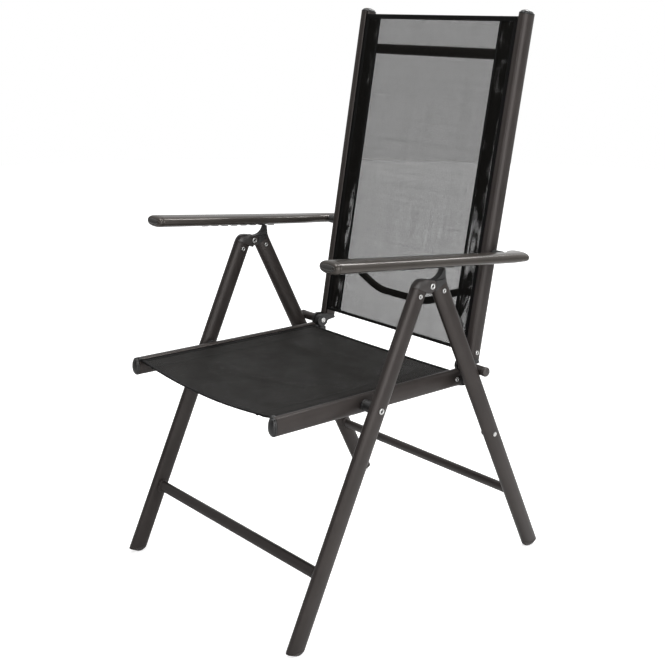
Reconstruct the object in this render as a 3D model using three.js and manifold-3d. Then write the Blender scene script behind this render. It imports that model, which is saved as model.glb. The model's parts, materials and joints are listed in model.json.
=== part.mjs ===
// Folding high-back patio chair: oval aluminium tubes, plastic knuckles and two slings of woven mesh.
// Millimetres, +Z up, +X to the chair's right-hand side, the sitter faces -Y.
// The origin lies on the floor, in the middle of the box round the chair.
import * as THREE from "three";
import { mergeVertices } from "three/addons/utils/BufferGeometryUtils.js";
import Module from "manifold-3d";

const wasm = await Module();
wasm.setup();

// Stance: the two pairs of legs meet at the apex pivot.
const apexHeight = 615;
const apexSetback = -13.66;
const frontLean = -25;
const rearLean = 27;
const legSpacing = 510;
const legWidth = 36;
const legThickness = 20;
const legAxisOffset = 21;
const wall = 1.6;
const gap = 0.3;
const overrun = 4;
const blockReach = 1300;

// Sections: every tube is an oval with slightly flattened sides.
const ovalSides = 20;
const ovalPower = 2.4;
const roundSides = 16;
const pinSides = 12;
const smallSides = 8;
const mergeDistance = 1e-4;

// Legs: how far below the apex each thing sits, measured down the leg.
const legTop = 14;
const legRivetDrop = 25.2;
const footHeight = 11;
const footSpigot = 26;
const crossbarDrop = 541;
const crossbarHeight = 21;
const crossbarDepth = 16;

// Knuckles at the apex and their pins.
const eyeRadius = 10;
const cheekRadius = 10.5;
const cheekClearance = 11.5;
const cheekTurn = 72;
const tongueRoom = 14.5;
const tongueThickness = 6;
const tongueSlot = 7;
const spigotReach = 31;
const apexPinRadius = 4.2;
const apexHeadRadius = 6.8;
const rivetRadius = 2.8;
const rivetHeadRadius = 4.6;
const headHeight = 1.4;
const rivetHollow = 1.6;
const crownHeight = 9;
const crownSetback = 6;
const shoulderHeight = 5;
const shoulderSetback = 22;
const bumperThickness = 5.4;
const bumperFoot = 27;

// Horn: the upright finger behind the apex that carries the armrest's rack.
const hornSeat = 4;
const hornSeatHeight = 9.1;
const hornFront = 32.5;
const hornHeight = 27;
const hornTipBack = 36;
const hornBack = 38;
const hornFoot = 5;
const hornWaist = 26;
const hornWaistHeight = 8;
const hornThickness = 12;

// Seat frame, measured from the seat pivot: along the rail and above its axis.
const seatPivotDrop = 235.5;
const seatTilt = -1.4;
const railSpacing = 422;
const railHeight = 34;
const railThickness = 22;
const railFront = 196;
const railRear = 250;
const railRivetAlong = 240.9;
const seatPivotRadius = 4.5;
const seatPivotHeadRadius = 6;
const spacerRadius = 11;
const spreaderRadius = 7;
const spreaderDrop = 4;
const spreaderBow = 17;
const spreaderSteps = 8;
const spreaderPlaces = { front: -96, rear: 150 };

// Keder channel: the slot along each side tube that holds the sling's beaded edge.
const channelInset = 3.6;
const channelRise = 12;
const channelRadius = 3.4;
const channelWall = 1.3;
const clothThickness = 1.5;

// Rear hinge and link pivot, measured from the seat pivot in the same way.
const backPivotAlong = 269.5;
const backPivotRise = 20.8;
const linkPivotAlong = 268.2;
const linkPivotRise = -2.657;
const hingeDiscRadius = 14;
const hingeTongueRadius = 11;
const hingeTongue = 10;
const hingeRoom = 11.5;
const hingePinRadius = 4.4;
const hingeHeadRadius = 5.4;
const hingeToeReach = 9.8;
const hingeStep = 6;
const hingePillar = 6;
const hingeEyeTop = 75;
const stopRodRadius = 9;
const stopRodOverhang = 4;
const stopCapLength = 6;
const stopCapRadius = 9.4;
const stopNoseShare = 0.33;

// Folding links between the seat's rear end and the rear legs.
const linkFootDrop = 377.6;
const linkThickness = 4;
const linkWaist = 15;
const linkEyeRadius = 9.5;
const linkLegGap = 3;
const linkBossRadius = 7.5;
const linkPinRadius = 4;
const linkHeadRadius = 6.2;

// Back frame, measured from the back pivot up the tubes.
const backLean = -9.8;
const backTubeSetback = 21;
const backTubeFoot = 14.5;
const backTubeTop = 660;
const capDome = 9;
const lugRivetRise = 26;
const lugPlug = 24;
const lugHeel = 7;
const headrestDrop = 73;
const headrestHeight = 20;
const headrestDepth = 14;
const headrestSetback = 2;
const lumbarRise = 136;
const lumbarHeight = 15;
const lumbarDepth = 13;
const lumbarDrop = 41;
const lumbarSetback = 4;
const lumbarFlat = 48;
const lumbarShoulder = 182;
const lumbarSteps = 14;

// Slings: where each begins and ends, how far the cloth sinks, and the hems.
const hemLength = 14;
const hemThickness = 3.2;
const hemInset = 10;
const clothColumns = 10;
const beadSides = 6;
const clothRowShares = [0, 0.18, 0.5, 0.82, 1];
const seatSlingFrontSetback = 2;
const seatSlingRearSetback = 6;
const seatSag = { start: 1, middle: 11, end: 6.5 };
const backSlingFoot = 24;
const backSlingDrop = 5;
const backSag = { start: 1, middle: 5, end: 1.5 };

// Armrests, measured from the arm pivot along the arm.
const armPivotRise = 218.3;
const armPivotSetback = 1;
const armSlope = -5.92;
const armFront = 441;
const armRear = 36;
const armOverhang = 24;
const armWidth = 48;
const armHeight = 22;
const armBoltRadius = 4;
const armBoltDepth = 16;
const armBushRadius = 8.5;
const armBoltHeadRadius = 6;
const armNoseLength = 12;
const armTailLength = 7;
const armSpigot = 22;
const armWall = 2.5;
const armHollowRear = 95;
const armStations = 17;
const rackNotchFirst = 175.7;
const rackPitch = 24;
const rackNotches = 7;
const rackMargin = 20;
const rackWidth = 17;
const rackCrest = 11.4;
const rackNotchDepth = 3.2;
const rackRoot = 5.5;
const rackNotchWidth = 10;
const rackNotchFloor = 5;

// Along the armrest from its front: how far the inner edge draws in, and the height.
const armPlanShares = [
  [0, 0.04, 1],
  [0.12, 0.01, 0.98],
  [0.35, 0.03, 0.95],
  [0.6, 0.07, 0.92],
  [0.76, 0.13, 0.9],
  [0.85, 0.26, 0.89],
  [0.9, 0.3, 0.88],
  [0.945, 0.28, 0.88],
  [0.972, 0.06, 0.88],
  [0.985, -0.06, 0.87],
  [1, -0.1, 0.86],
];
const domeShares = [0.3, 0.6, 0.84, 0.96];

const anthracite = { color: 0x4d4846, roughness: 0.45, metalness: 0.55 };
const armSatin = { color: 0x6e6862, roughness: 0.38, metalness: 0.6 };
const blackPlastic = { color: 0x2b2a2a, roughness: 0.6, metalness: 0 };
const silver = { color: 0xd9d8d5, roughness: 0.3, metalness: 0.9 };
const seatCloth = { color: 0x34332f, roughness: 0.85, metalness: 0 };
const backCloth = { color: 0x8b8985, roughness: 0.85, metalness: 0 };

const radians = THREE.MathUtils.degToRad;
const legX = legSpacing / 2;
const legInside = legX - legThickness / 2;
const legOutside = legX + legThickness / 2;
const legEdge = legWidth / 2;
const railX = railSpacing / 2;
const railInside = railX - railThickness / 2;
const railOutside = railX + railThickness / 2;
const railLength = railRear + railFront;
const railHalf = railHeight / 2;
const backTubeLength = backTubeTop - backTubeFoot;
const beadX = railX - channelInset;
const beadRadius = channelRadius - gap;
const armLean = armSlope - backLean;
const armOutside = legX + armOverhang;
const hingeToe = linkPivotAlong + hingeToeReach;
const seatSlingFront = railFront - seatSlingFrontSetback;
const seatSlingRear = railRear - seatSlingRearSetback;
const backSlingTop = backTubeTop - backSlingDrop;
const headrestRise = backTubeTop - headrestDrop;

// A closed mesh becomes a solid that can be joined and cut.
function solid(geometry) {
  const bare = geometry.clone();
  bare.deleteAttribute("normal");
  bare.deleteAttribute("uv");
  const merged = mergeVertices(bare, mergeDistance);
  const vertProperties = Float32Array.from(merged.attributes.position.array);
  const triVerts = Uint32Array.from(merged.index.array);
  return new wasm.Manifold(new wasm.Mesh({ numProp: 3, vertProperties, triVerts }));
}

function meshOf(body) {
  const { vertProperties, triVerts } = body.getMesh();
  const geometry = new THREE.BufferGeometry();
  geometry.setAttribute("position", new THREE.BufferAttribute(vertProperties, 3));
  geometry.setIndex(new THREE.BufferAttribute(triVerts, 1));
  geometry.computeVertexNormals();
  return geometry;
}

function join(...geometries) {
  return meshOf(geometries.map(solid).reduce((whole, piece) => whole.add(piece)));
}

function cut(base, ...tools) {
  return meshOf(tools.map(solid).reduce((left, tool) => left.subtract(tool), solid(base)));
}

function common(one, other) {
  return meshOf(solid(one).intersect(solid(other)));
}

function mirrored(geometry) {
  const bare = geometry.clone();
  bare.deleteAttribute("normal");
  bare.deleteAttribute("uv");
  const other = mergeVertices(bare, mergeDistance);
  other.scale(-1, 1, 1);
  const order = other.index.array;
  for (let i = 0; i < order.length; i += 3) {
    [order[i], order[i + 1]] = [order[i + 1], order[i]];
  }
  other.computeVertexNormals();
  return other;
}

function ovalPoints(width, height, x = 0, y = 0) {
  return Array.from({ length: ovalSides }, (_, i) => {
    const angle = (2 * Math.PI * i) / ovalSides;
    const c = Math.cos(angle);
    const s = Math.sin(angle);
    const across = Math.sign(c) * Math.abs(c) ** (2 / ovalPower);
    const along = Math.sign(s) * Math.abs(s) ** (2 / ovalPower);
    return new THREE.Vector2(x + (across * width) / 2, y + (along * height) / 2);
  });
}

function extruded(shape, zFrom, zTo, curveSegments = 6) {
  const bar = new THREE.ExtrudeGeometry(shape, { depth: zTo - zFrom, bevelEnabled: false, curveSegments });
  return bar.translate(0, 0, zFrom);
}

// A straight oval bar from zFrom up to zTo.
function ovalBar(width, height, zFrom, zTo, x = 0, y = 0) {
  return extruded(new THREE.Shape(ovalPoints(width, height, x, y)), zFrom, zTo);
}

// A side view drawn in Y and Z, thickened across X.
function sidePlate(shape, xFrom, xTo) {
  const turn = new THREE.Matrix4().set(0, 0, 1, 0, 1, 0, 0, 0, 0, 1, 0, 0, 0, 0, 0, 1);
  return extruded(shape, xFrom, xTo).applyMatrix4(turn);
}

function pinAcross(radius, xFrom, xTo, y = 0, z = 0, sides = roundSides) {
  const pin = new THREE.CylinderGeometry(radius, radius, xTo - xFrom, sides);
  return pin.rotateZ(Math.PI / 2).translate((xFrom + xTo) / 2, y, z);
}

// A pin through the span with a flange at each end.
function flangedPin(radius, headRadius, xFrom, xTo, y, z) {
  const shaft = pinAcross(radius, xFrom - headHeight, xTo + headHeight, y, z, pinSides);
  const heads = [
    pinAcross(headRadius, xFrom - gap - headHeight, xFrom - gap, y, z, pinSides),
    pinAcross(headRadius, xTo + gap, xTo + gap + headHeight, y, z, pinSides),
  ];
  return join(shaft, ...heads);
}

// The hollow of a tubular pin.
function pinHollow(xFrom, xTo) {
  return pinAcross(rivetHollow, xFrom - overrun, xTo + overrun, 0, 0, smallSides);
}

// Rings of equal count, joined one to the next and closed at both ends.
function loft(rings) {
  const count = rings[0].length;
  const faces = [];
  for (let r = 0; r + 1 < rings.length; r += 1) {
    for (let i = 0; i < count; i += 1) {
      const a = r * count + i;
      const b = r * count + ((i + 1) % count);
      faces.push(a, b, a + count, b, b + count, a + count);
    }
  }
  const last = (rings.length - 1) * count;
  const outline = (ring) => ring.map((point) => new THREE.Vector2(point.x, point.y));
  THREE.ShapeUtils.triangulateShape(outline(rings[0]), []).forEach(([a, b, c]) => {
    faces.push(a, c, b);
  });
  THREE.ShapeUtils.triangulateShape(outline(rings.at(-1)), []).forEach(([a, b, c]) => {
    faces.push(last + a, last + b, last + c);
  });
  const geometry = new THREE.BufferGeometry();
  const positions = rings.flat().flatMap((point) => [point.x, point.y, point.z]);
  geometry.setAttribute("position", new THREE.Float32BufferAttribute(positions, 3));
  geometry.setIndex(faces);
  geometry.computeVertexNormals();
  return geometry;
}

function ovalRing(z, width, height, x = 0, y = 0) {
  return ovalPoints(width, height, x, y).map((point) => new THREE.Vector3(point.x, point.y, z));
}

// An oval plate that ends in a shallow dome, on the side the direction points to.
function dome(width, height, zFlat, length, direction) {
  const shrink = (share) => Math.sqrt(1 - share * share);
  const ring = (share) => ovalRing(
    zFlat + direction * length * share,
    width * shrink(share),
    height * shrink(share),
  );
  const rings = [ovalRing(zFlat, width, height), ...domeShares.map(ring)];
  return loft(direction > 0 ? rings : rings.reverse());
}

function disc(x, y, radius) {
  const shape = new THREE.Shape();
  shape.absarc(x, y, radius, 0, 2 * Math.PI, false);
  return shape;
}

// Side tube of seat and back, drawn as a section and run along Z, its cloth side towards +Y.
function sideTube(length) {
  const half = clothThickness / 2 + gap;
  const slot = new THREE.Shape();
  slot.moveTo(-railThickness, channelRise - half);
  slot.lineTo(-channelInset, channelRise - half);
  slot.lineTo(-channelInset, channelRise + half);
  slot.lineTo(-railThickness, channelRise + half);
  const outside = ovalBar(railThickness, railHeight, 0, length);
  const inside = ovalBar(railThickness - 2 * wall, railHeight - 2 * wall, -overrun, length + overrun);
  const bossShape = disc(-channelInset, channelRise, channelRadius + channelWall);
  const boss = common(extruded(bossShape, 0, length), outside);
  const bore = extruded(disc(-channelInset, channelRise, channelRadius), -overrun, length + overrun);
  const mouth = extruded(slot, -overrun, length + overrun);
  return cut(join(cut(outside, inside), boss), bore, mouth);
}

// What fits inside a side tube: its void, less the channel's boss and a clearance.
function tubeFiller(zFrom, zTo) {
  const slim = 2 * (wall + gap);
  const boss = disc(-channelInset, channelRise, channelRadius + channelWall + gap);
  const clear = extruded(boss, zFrom - overrun, zTo + overrun);
  return cut(ovalBar(railThickness - slim, railHeight - slim, zFrom, zTo), clear);
}

// Lays a section run onto the seat: rear end first, cloth side up.
function onRail(geometry) {
  return geometry.rotateX(Math.PI / 2).translate(railX, railRear, 0);
}

// Stands a section run up as the back: top end first, cloth side to the sitter.
function onBack(geometry) {
  return geometry.rotateX(Math.PI).translate(railX, backTubeSetback, backTubeTop);
}

// A block with its level top at the given height, seen from a leaning leg's frame.
function levelBlock(lean, height) {
  const block = new THREE.BoxGeometry(blockReach, blockReach, blockReach);
  block.translate(0, 0, height - apexHeight - blockReach / 2);
  return block.rotateX(-radians(lean));
}

// One leg in its own frame: the apex is the origin and the leg runs down the Z axis.
function legTube(lean, offset, holes) {
  const tube = cut(
    ovalBar(legThickness, legWidth, -blockReach, -legTop, 0, offset),
    ovalBar(legThickness - 2 * wall, legWidth - 2 * wall, -blockReach - overrun, overrun, 0, offset),
    levelBlock(lean, footHeight),
    ...holes.map(([radius, drop]) => pinAcross(radius + gap, -legThickness, legThickness, offset, -drop)),
  );
  return tube.translate(legX, 0, 0);
}

// The foot's sole is level with the floor and its plug fills the leg's lower end.
function foot(lean, offset) {
  const slim = 2 * (wall + gap);
  const outside = ovalBar(legThickness, legWidth, -blockReach, 0, 0, offset);
  const inside = ovalBar(legThickness - slim, legWidth - slim, -blockReach, 0, 0, offset);
  const sole = cut(common(outside, levelBlock(lean, footHeight - gap)), levelBlock(lean, 0));
  const plug = cut(common(inside, levelBlock(lean, footHeight + footSpigot)), levelBlock(lean, gap));
  return join(sole, plug).translate(legX, 0, 0);
}

function crossbar(offset) {
  const bar = ovalBar(crossbarHeight, crossbarDepth, -legInside + gap, legInside - gap);
  return bar.rotateY(Math.PI / 2).translate(0, offset, -crossbarDrop);
}

// Plug of a knuckle inside its leg.
function legSpigot(offset) {
  const slim = 2 * (wall + gap);
  const from = -legTop - spigotReach;
  return ovalBar(legThickness - slim, legWidth - slim, from, overrun - legTop, legX, offset);
}

function knuckleHoles(offset) {
  const across = [legInside - overrun, legOutside + overrun];
  return [
    pinAcross(apexPinRadius + gap, ...across),
    pinAcross(rivetRadius + gap, ...across, offset, -legRivetDrop),
  ];
}

function frontKnuckle() {
  const back = legEdge - legAxisOffset;
  const base = gap - legTop;
  const shape = new THREE.Shape();
  shape.moveTo(-legEdge - legAxisOffset, base);
  shape.quadraticCurveTo(-legEdge - legAxisOffset, 0, -shoulderSetback, shoulderHeight);
  shape.lineTo(-crownSetback, crownHeight);
  shape.absarc(0, 0, cheekRadius, Math.atan2(crownHeight, -crownSetback), -radians(cheekTurn), true);
  shape.lineTo(back + bumperThickness, -legTop);
  shape.lineTo(back + bumperThickness, -bumperFoot);
  shape.lineTo(back + gap, -bumperFoot - bumperThickness / 2);
  shape.lineTo(back + gap, base);
  const slot = pinAcross(tongueRoom, legX - tongueSlot / 2, legX + tongueSlot / 2);
  const body = join(sidePlate(shape, legInside, legOutside), legSpigot(-legAxisOffset));
  return cut(body, slot, ...knuckleHoles(-legAxisOffset));
}

// The rear knuckle grows into the horn; its outline is drawn upright, then leant with the leg.
function hornOutline() {
  const base = gap - legTop;
  const shape = new THREE.Shape();
  shape.moveTo(hornSeat, hornSeatHeight);
  shape.quadraticCurveTo(hornWaist, hornWaistHeight, hornFront, hornHeight);
  shape.lineTo(hornTipBack, hornHeight);
  shape.lineTo(hornBack, hornWaistHeight);
  shape.lineTo(legAxisOffset + legEdge, hornFoot);
  shape.lineTo(...leant([legAxisOffset + legEdge, base], rearLean));
  shape.lineTo(...leant([legAxisOffset - legEdge, base], rearLean));
  shape.lineTo(...leant([legAxisOffset - legEdge, -eyeRadius], rearLean));
  shape.lineTo(0, 0);
  return shape;
}

function hornKnuckle() {
  const plate = (thickness) => sidePlate(hornOutline(), legX - thickness / 2, legX + thickness / 2);
  const low = new THREE.BoxGeometry(blockReach, blockReach, blockReach);
  low.translate(0, 0, hornWaistHeight - blockReach / 2);
  const cheeks = pinAcross(cheekClearance, legInside - overrun, legOutside + overrun);
  const upright = join(
    cut(common(plate(legThickness), low), cheeks),
    cut(plate(hornThickness), cheeks),
    plate(tongueThickness),
    pinAcross(eyeRadius, legX - tongueThickness / 2, legX + tongueThickness / 2),
  );
  const leaning = upright.rotateX(-radians(rearLean));
  return cut(join(leaning, legSpigot(legAxisOffset)), ...knuckleHoles(legAxisOffset));
}

function seatRail() {
  const across = [railInside - overrun, railOutside + overrun];
  return cut(
    onRail(sideTube(railLength)),
    pinAcross(seatPivotRadius + gap, ...across),
    pinAcross(rivetRadius + gap, ...across, railRivetAlong),
  );
}

function seatFrontCap() {
  const plug = tubeFiller(railLength - 2 * capDome, railLength + 2 * gap);
  return onRail(join(plug, dome(railThickness, railHeight, railLength + gap, capDome, 1)));
}

// Spacer ring between front leg and rail, round the pivot bolt.
function seatPivotSpacer() {
  return cut(
    pinAcross(spacerRadius, railOutside + gap, legInside - gap),
    pinAcross(seatPivotRadius + gap, railInside, legOutside),
  );
}

// A bar across the chair, bent along the path that gives its setback and drop at each place.
function bentBar(height, depth, halfSpan, steps, pathAt) {
  const rings = Array.from({ length: steps + 1 }, (_, i) => {
    const x = halfSpan * ((2 * i) / steps - 1);
    const { setback, drop } = pathAt(x);
    return ovalRing(x, height, depth, drop, setback);
  });
  const turn = new THREE.Matrix4().set(0, 0, 1, 0, 0, 1, 0, 0, -1, 0, 0, 0, 0, 0, 0, 1);
  return loft(rings).applyMatrix4(turn);
}

function spreader() {
  const halfSpan = railInside - gap;
  return bentBar(2 * spreaderRadius, 2 * spreaderRadius, halfSpan, spreaderSteps, (x) => {
    return { setback: 0, drop: spreaderDrop + spreaderBow * (1 - (x / halfSpan) ** 2) };
  });
}

function lumbarBow() {
  return bentBar(lumbarHeight, lumbarDepth, railInside - gap, lumbarSteps, (x) => {
    const share = THREE.MathUtils.smoothstep(-Math.abs(x), -lumbarShoulder, -lumbarFlat);
    return { setback: lumbarSetback * share, drop: lumbarDrop * share };
  });
}

function headrestBar() {
  const bar = ovalBar(headrestHeight, headrestDepth, gap - railInside, railInside - gap);
  return bar.rotateY(Math.PI / 2).translate(0, backTubeSetback + headrestSetback, headrestRise);
}

// Side view of the hinge block between the rail's end and its rounded toe.
function hingeBlockOutline() {
  const shape = new THREE.Shape();
  shape.moveTo(railRear + gap, -railHalf);
  shape.lineTo(linkPivotAlong, -railHalf);
  shape.quadraticCurveTo(hingeToe, -railHalf, hingeToe, linkPivotRise);
  shape.lineTo(hingeToe, hingeStep);
  shape.lineTo(backPivotAlong - hingeRoom, hingeStep);
  shape.lineTo(railRear + gap, railHalf - wall);
  return shape;
}

function hingePillarOutline() {
  const shape = new THREE.Shape();
  shape.moveTo(backPivotAlong - hingeTongueRadius, 0);
  shape.lineTo(backPivotAlong + hingePillar, 0);
  shape.lineTo(backPivotAlong + hingePillar, backPivotRise);
  shape.lineTo(backPivotAlong - hingeTongueRadius, backPivotRise);
  return shape;
}

// Hinge block: plugs into the rail's rear end, carries the back's pivot and the link's pivot.
function seatHingeBlock() {
  const pivot = [backPivotAlong, backPivotRise];
  const linkPivot = [linkPivotAlong, linkPivotRise];
  const tongue = [railX - hingeTongue / 2, railX + hingeTongue / 2];
  const linkInner = legInside - linkLegGap - linkThickness - gap;
  const linkOuter = legInside - linkLegGap + gap;
  const body = cut(
    sidePlate(hingeBlockOutline(), railInside, railOutside),
    pinAcross(hingeDiscRadius + 2 * gap, railInside - overrun, tongue[0], ...pivot),
    pinAcross(hingeDiscRadius + 2 * gap, tongue[1], railOutside + overrun, ...pivot),
  );
  const whole = join(
    body,
    onRail(tubeFiller(-2 * gap, lugPlug)),
    sidePlate(hingePillarOutline(), ...tongue),
    pinAcross(hingeTongueRadius, ...tongue, ...pivot),
    pinAcross(linkBossRadius, railX, linkInner, ...linkPivot),
    pinAcross(linkPinRadius, railX, linkOuter + headHeight, ...linkPivot),
    pinAcross(linkHeadRadius, linkOuter, linkOuter + headHeight, ...linkPivot),
  );
  const across = [railInside - overrun, railOutside + overrun];
  return cut(
    whole,
    pinAcross(hingePinRadius + gap, ...across, ...pivot),
    pinAcross(rivetRadius + gap, ...across, railRivetAlong),
  );
}

// Back lug: two discs at the hinge, a bridge behind them and a plug up into the back tube.
function backLug() {
  const back = backTubeSetback + railHalf;
  const top = backTubeFoot - gap;
  const shape = new THREE.Shape();
  shape.absarc(0, 0, hingeDiscRadius, radians(hingeEyeTop), 2 * Math.PI, false);
  shape.lineTo(back, lugHeel);
  shape.lineTo(back, top);
  shape.lineTo(backTubeSetback - railHalf, top);
  const slot = new THREE.BoxGeometry(hingeTongue + 2 * gap, blockReach, blockReach);
  slot.translate(railX, hingeRoom - blockReach / 2, top - blockReach / 2);
  const across = [railInside - overrun, railOutside + overrun];
  const plug = onBack(tubeFiller(backTubeLength - lugPlug, backTubeLength + 2 * gap));
  const room = [railX - hingeTongue / 2 - gap, railX + hingeTongue / 2 + gap];
  return cut(
    join(cut(sidePlate(shape, railInside, railOutside), slot), plug),
    pinAcross(hingeDiscRadius + 2 * gap, ...room),
    pinAcross(hingePinRadius + gap, ...across),
    pinAcross(rivetRadius + gap, ...across, backTubeSetback, lugRivetRise),
  );
}

// The hinge pin carries on outwards as the round rod that rests behind the rear leg.
function stopRod() {
  const end = legOutside + stopRodOverhang;
  const nose = new THREE.SphereGeometry(stopRodRadius, roundSides, smallSides);
  nose.rotateX(Math.PI / 2).scale(stopNoseShare, 1, 1).translate(end, 0, 0);
  return join(
    pinAcross(hingeHeadRadius, railInside - gap - headHeight, railInside - gap),
    pinAcross(hingePinRadius, railInside - headHeight, railOutside + overrun),
    pinAcross(stopRodRadius, railOutside + gap, end),
    pinAcross(stopCapRadius, end - stopCapLength, end),
    nose,
  );
}

// The link turns on the hinge block's boss and reaches down to the rear leg.
function rearLink(length) {
  const flank = Math.acos(linkWaist / 2 / linkEyeRadius);
  const shape = new THREE.Shape();
  shape.absarc(0, 0, linkEyeRadius, -flank, Math.PI + flank, false);
  shape.absarc(0, -length, linkEyeRadius, Math.PI - flank, 2 * Math.PI + flank, false);
  const outer = legInside - linkLegGap;
  const inner = outer - linkThickness;
  const button = pinAcross(linkHeadRadius, inner - headHeight, inner + gap, 0, -length);
  const bore = pinAcross(linkPinRadius + gap, inner - overrun, outer + overrun);
  return cut(join(sidePlate(shape, inner, outer), button), bore);
}

function linkRivet() {
  const washer = legInside - linkLegGap + gap;
  const end = legOutside + gap + headHeight;
  return join(
    pinAcross(rivetRadius, washer + gap, end, legAxisOffset, -linkFootDrop),
    pinAcross(linkHeadRadius, washer, legInside - gap, legAxisOffset, -linkFootDrop),
    pinAcross(rivetHeadRadius, end - headHeight, end, legAxisOffset, -linkFootDrop),
  );
}

function backTube() {
  const across = [railInside - overrun, railOutside + overrun];
  return cut(
    onBack(sideTube(backTubeLength)),
    pinAcross(rivetRadius + gap, ...across, backTubeSetback, lugRivetRise),
    pinAcross(armBoltRadius + gap, ...across, backTubeSetback + armPivotSetback, armPivotRise),
  );
}

function backCap() {
  const plug = tubeFiller(-2 * gap, 2 * capDome);
  return onBack(join(plug, dome(railThickness, railHeight, -gap, capDome, -1)));
}

// Armrest plan and height at each station, from the rear end forward.
function armSections() {
  const curveOf = (column) => {
    return new THREE.CatmullRomCurve3(armPlanShares.map((row) => new THREE.Vector3(row[0], row[column], 0)));
  };
  const plan = curveOf(1);
  const height = curveOf(2);
  return Array.from({ length: armStations + 1 }, (_, i) => {
    const share = 1 - i / armStations;
    const inset = plan.getPoint(share);
    const width = armWidth * (1 - inset.y);
    const z = armFront - inset.x * (armFront + armRear);
    return { z, width, height: armHeight * height.getPoint(share).y, x: armOutside - width / 2 };
  });
}

function armInnerEdge() {
  const near = armSections().filter(({ z }) => Math.abs(z) < 2 * armBushRadius);
  return Math.min(...near.map(({ width }) => armOutside - width));
}

function armBoltReach() {
  return armInnerEdge() + armBoltDepth;
}

function rackLength() {
  return rackPitch * (rackNotches - 1) + 2 * rackMargin;
}

function rackMiddle() {
  return rackMargin - rackNotchFirst - rackLength() / 2;
}

function armrest() {
  const sections = armSections();
  const rear = sections[0];
  const front = sections.at(-1);
  const tail = [...domeShares].reverse().map((share) => {
    const shrink = Math.sqrt(1 - share * share);
    return ovalRing(rear.z - armTailLength * share, rear.width * shrink, rear.height * shrink, rear.x);
  });
  const rings = sections.map(({ z, width, height, x }) => ovalRing(z, width, height, x));
  const body = loft([...tail, ...rings]).rotateX(Math.PI / 2);
  const slim = 2 * armWall;
  const deepest = sections.find(({ z }) => z > armHollowRear);
  const open = [deepest, front, { ...front, z: armFront + overrun }];
  const hollow = loft(open.map(({ z, width, height, x }) => ovalRing(z, width - slim, height - slim, x)));
  const groove = new THREE.BoxGeometry(rackWidth + 2 * gap, rackLength() + 2 * gap, 2 * rackCrest);
  groove.translate(legX, rackMiddle(), -rackRoot - rackCrest);
  const bore = pinAcross(armBoltRadius + gap, railOutside, armBoltReach() + gap);
  return cut(body, hollow.rotateX(Math.PI / 2), groove, bore);
}

function armFrontCap() {
  const { width, height, x } = armSections().at(-1);
  const slim = 2 * (armWall + gap);
  const plug = ovalBar(width - slim, height - slim, armFront - armSpigot + gap, armFront + 2 * gap, x);
  const nose = dome(width, height, armFront + gap, armNoseLength, 1).translate(x, 0, 0);
  return join(plug, nose).rotateX(Math.PI / 2);
}

// The rack is a straight strip with a row of notches for the horn.
function armrestRack() {
  const rear = rackMiddle() + rackLength() / 2;
  const front = rackMiddle() - rackLength() / 2;
  const floor = rackNotchDepth - rackCrest;
  const shape = new THREE.Shape();
  shape.moveTo(front, -rackRoot - gap);
  shape.lineTo(front, -rackCrest);
  for (let i = rackNotches - 1; i >= 0; i -= 1) {
    const y = -rackNotchFirst - i * rackPitch;
    shape.lineTo(y - rackNotchWidth / 2, -rackCrest);
    shape.lineTo(y - rackNotchFloor / 2, floor);
    shape.lineTo(y + rackNotchFloor / 2, floor);
    shape.lineTo(y + rackNotchWidth / 2, -rackCrest);
  }
  shape.lineTo(rear, -rackCrest);
  shape.lineTo(rear, -rackRoot - gap);
  return sidePlate(shape, legX - rackWidth / 2, legX + rackWidth / 2);
}

// Pivot bolt of the armrest, with the bush that keeps the arm off the back tube.
function armPivotBolt() {
  return join(
    pinAcross(armBoltRadius, railInside - headHeight, armBoltReach()),
    pinAcross(armBushRadius, railOutside + gap, armInnerEdge() - 2 * gap),
    pinAcross(armBoltHeadRadius, railInside - gap - headHeight, railInside - gap),
  );
}

// One row of the cloth: lower face, bead, upper face, bead.
function clothRing(z, thickness, sag) {
  const flat = railInside - hemInset;
  const columns = Array.from({ length: clothColumns + 1 }, (_, i) => flat * ((2 * i) / clothColumns - 1));
  const level = (x) => channelRise - sag * (1 - (x / flat) ** 2);
  const face = (x, side) => new THREE.Vector3(x, level(x) + (side * thickness) / 2, z);
  const neck = (x, side) => new THREE.Vector3(x, channelRise + (side * clothThickness) / 2, z);
  const open = Math.asin(clothThickness / 2 / beadRadius);
  const bead = (side) => Array.from({ length: beadSides + 1 }, (_, i) => {
    const angle = open - Math.PI + ((2 * Math.PI - 2 * open) * i) / beadSides;
    const x = side * (beadX + beadRadius * Math.cos(angle));
    return new THREE.Vector3(x, channelRise + side * beadRadius * Math.sin(angle), z);
  });
  return [
    ...columns.map((x) => face(x, -1)),
    neck(railInside - hemInset / 2, -1),
    ...bead(1),
    neck(railInside - hemInset / 2, 1),
    ...columns.map((x) => face(x, 1)).reverse(),
    neck(hemInset / 2 - railInside, 1),
    ...bead(-1),
    neck(hemInset / 2 - railInside, -1),
  ];
}

// A sling from one hem to the other, sinking between its side tubes.
function sling(zStart, zEnd, sag) {
  const sagAt = (share) => {
    const ends = sag.start + (sag.end - sag.start) * share;
    const middle = sag.middle - (sag.start + sag.end) / 2;
    return ends + middle * Math.sin(Math.PI * share);
  };
  const length = zEnd - zStart;
  const hem = hemLength / length;
  const step = gap / length;
  const row = (share, thickness) => clothRing(zStart + length * share, thickness, sagAt(share));
  const stretch = clothRowShares.map((share) => hem + (1 - 2 * hem) * share);
  return loft([
    row(0, hemThickness),
    row(hem - step, hemThickness),
    ...stretch.map((share) => row(share, clothThickness)),
    row(1 - hem + step, hemThickness),
    row(1, hemThickness),
  ]);
}

function seatSling() {
  return onRail(sling(railRear - seatSlingRear, railRear + seatSlingFront, seatSag)).translate(-railX, 0, 0);
}

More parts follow.
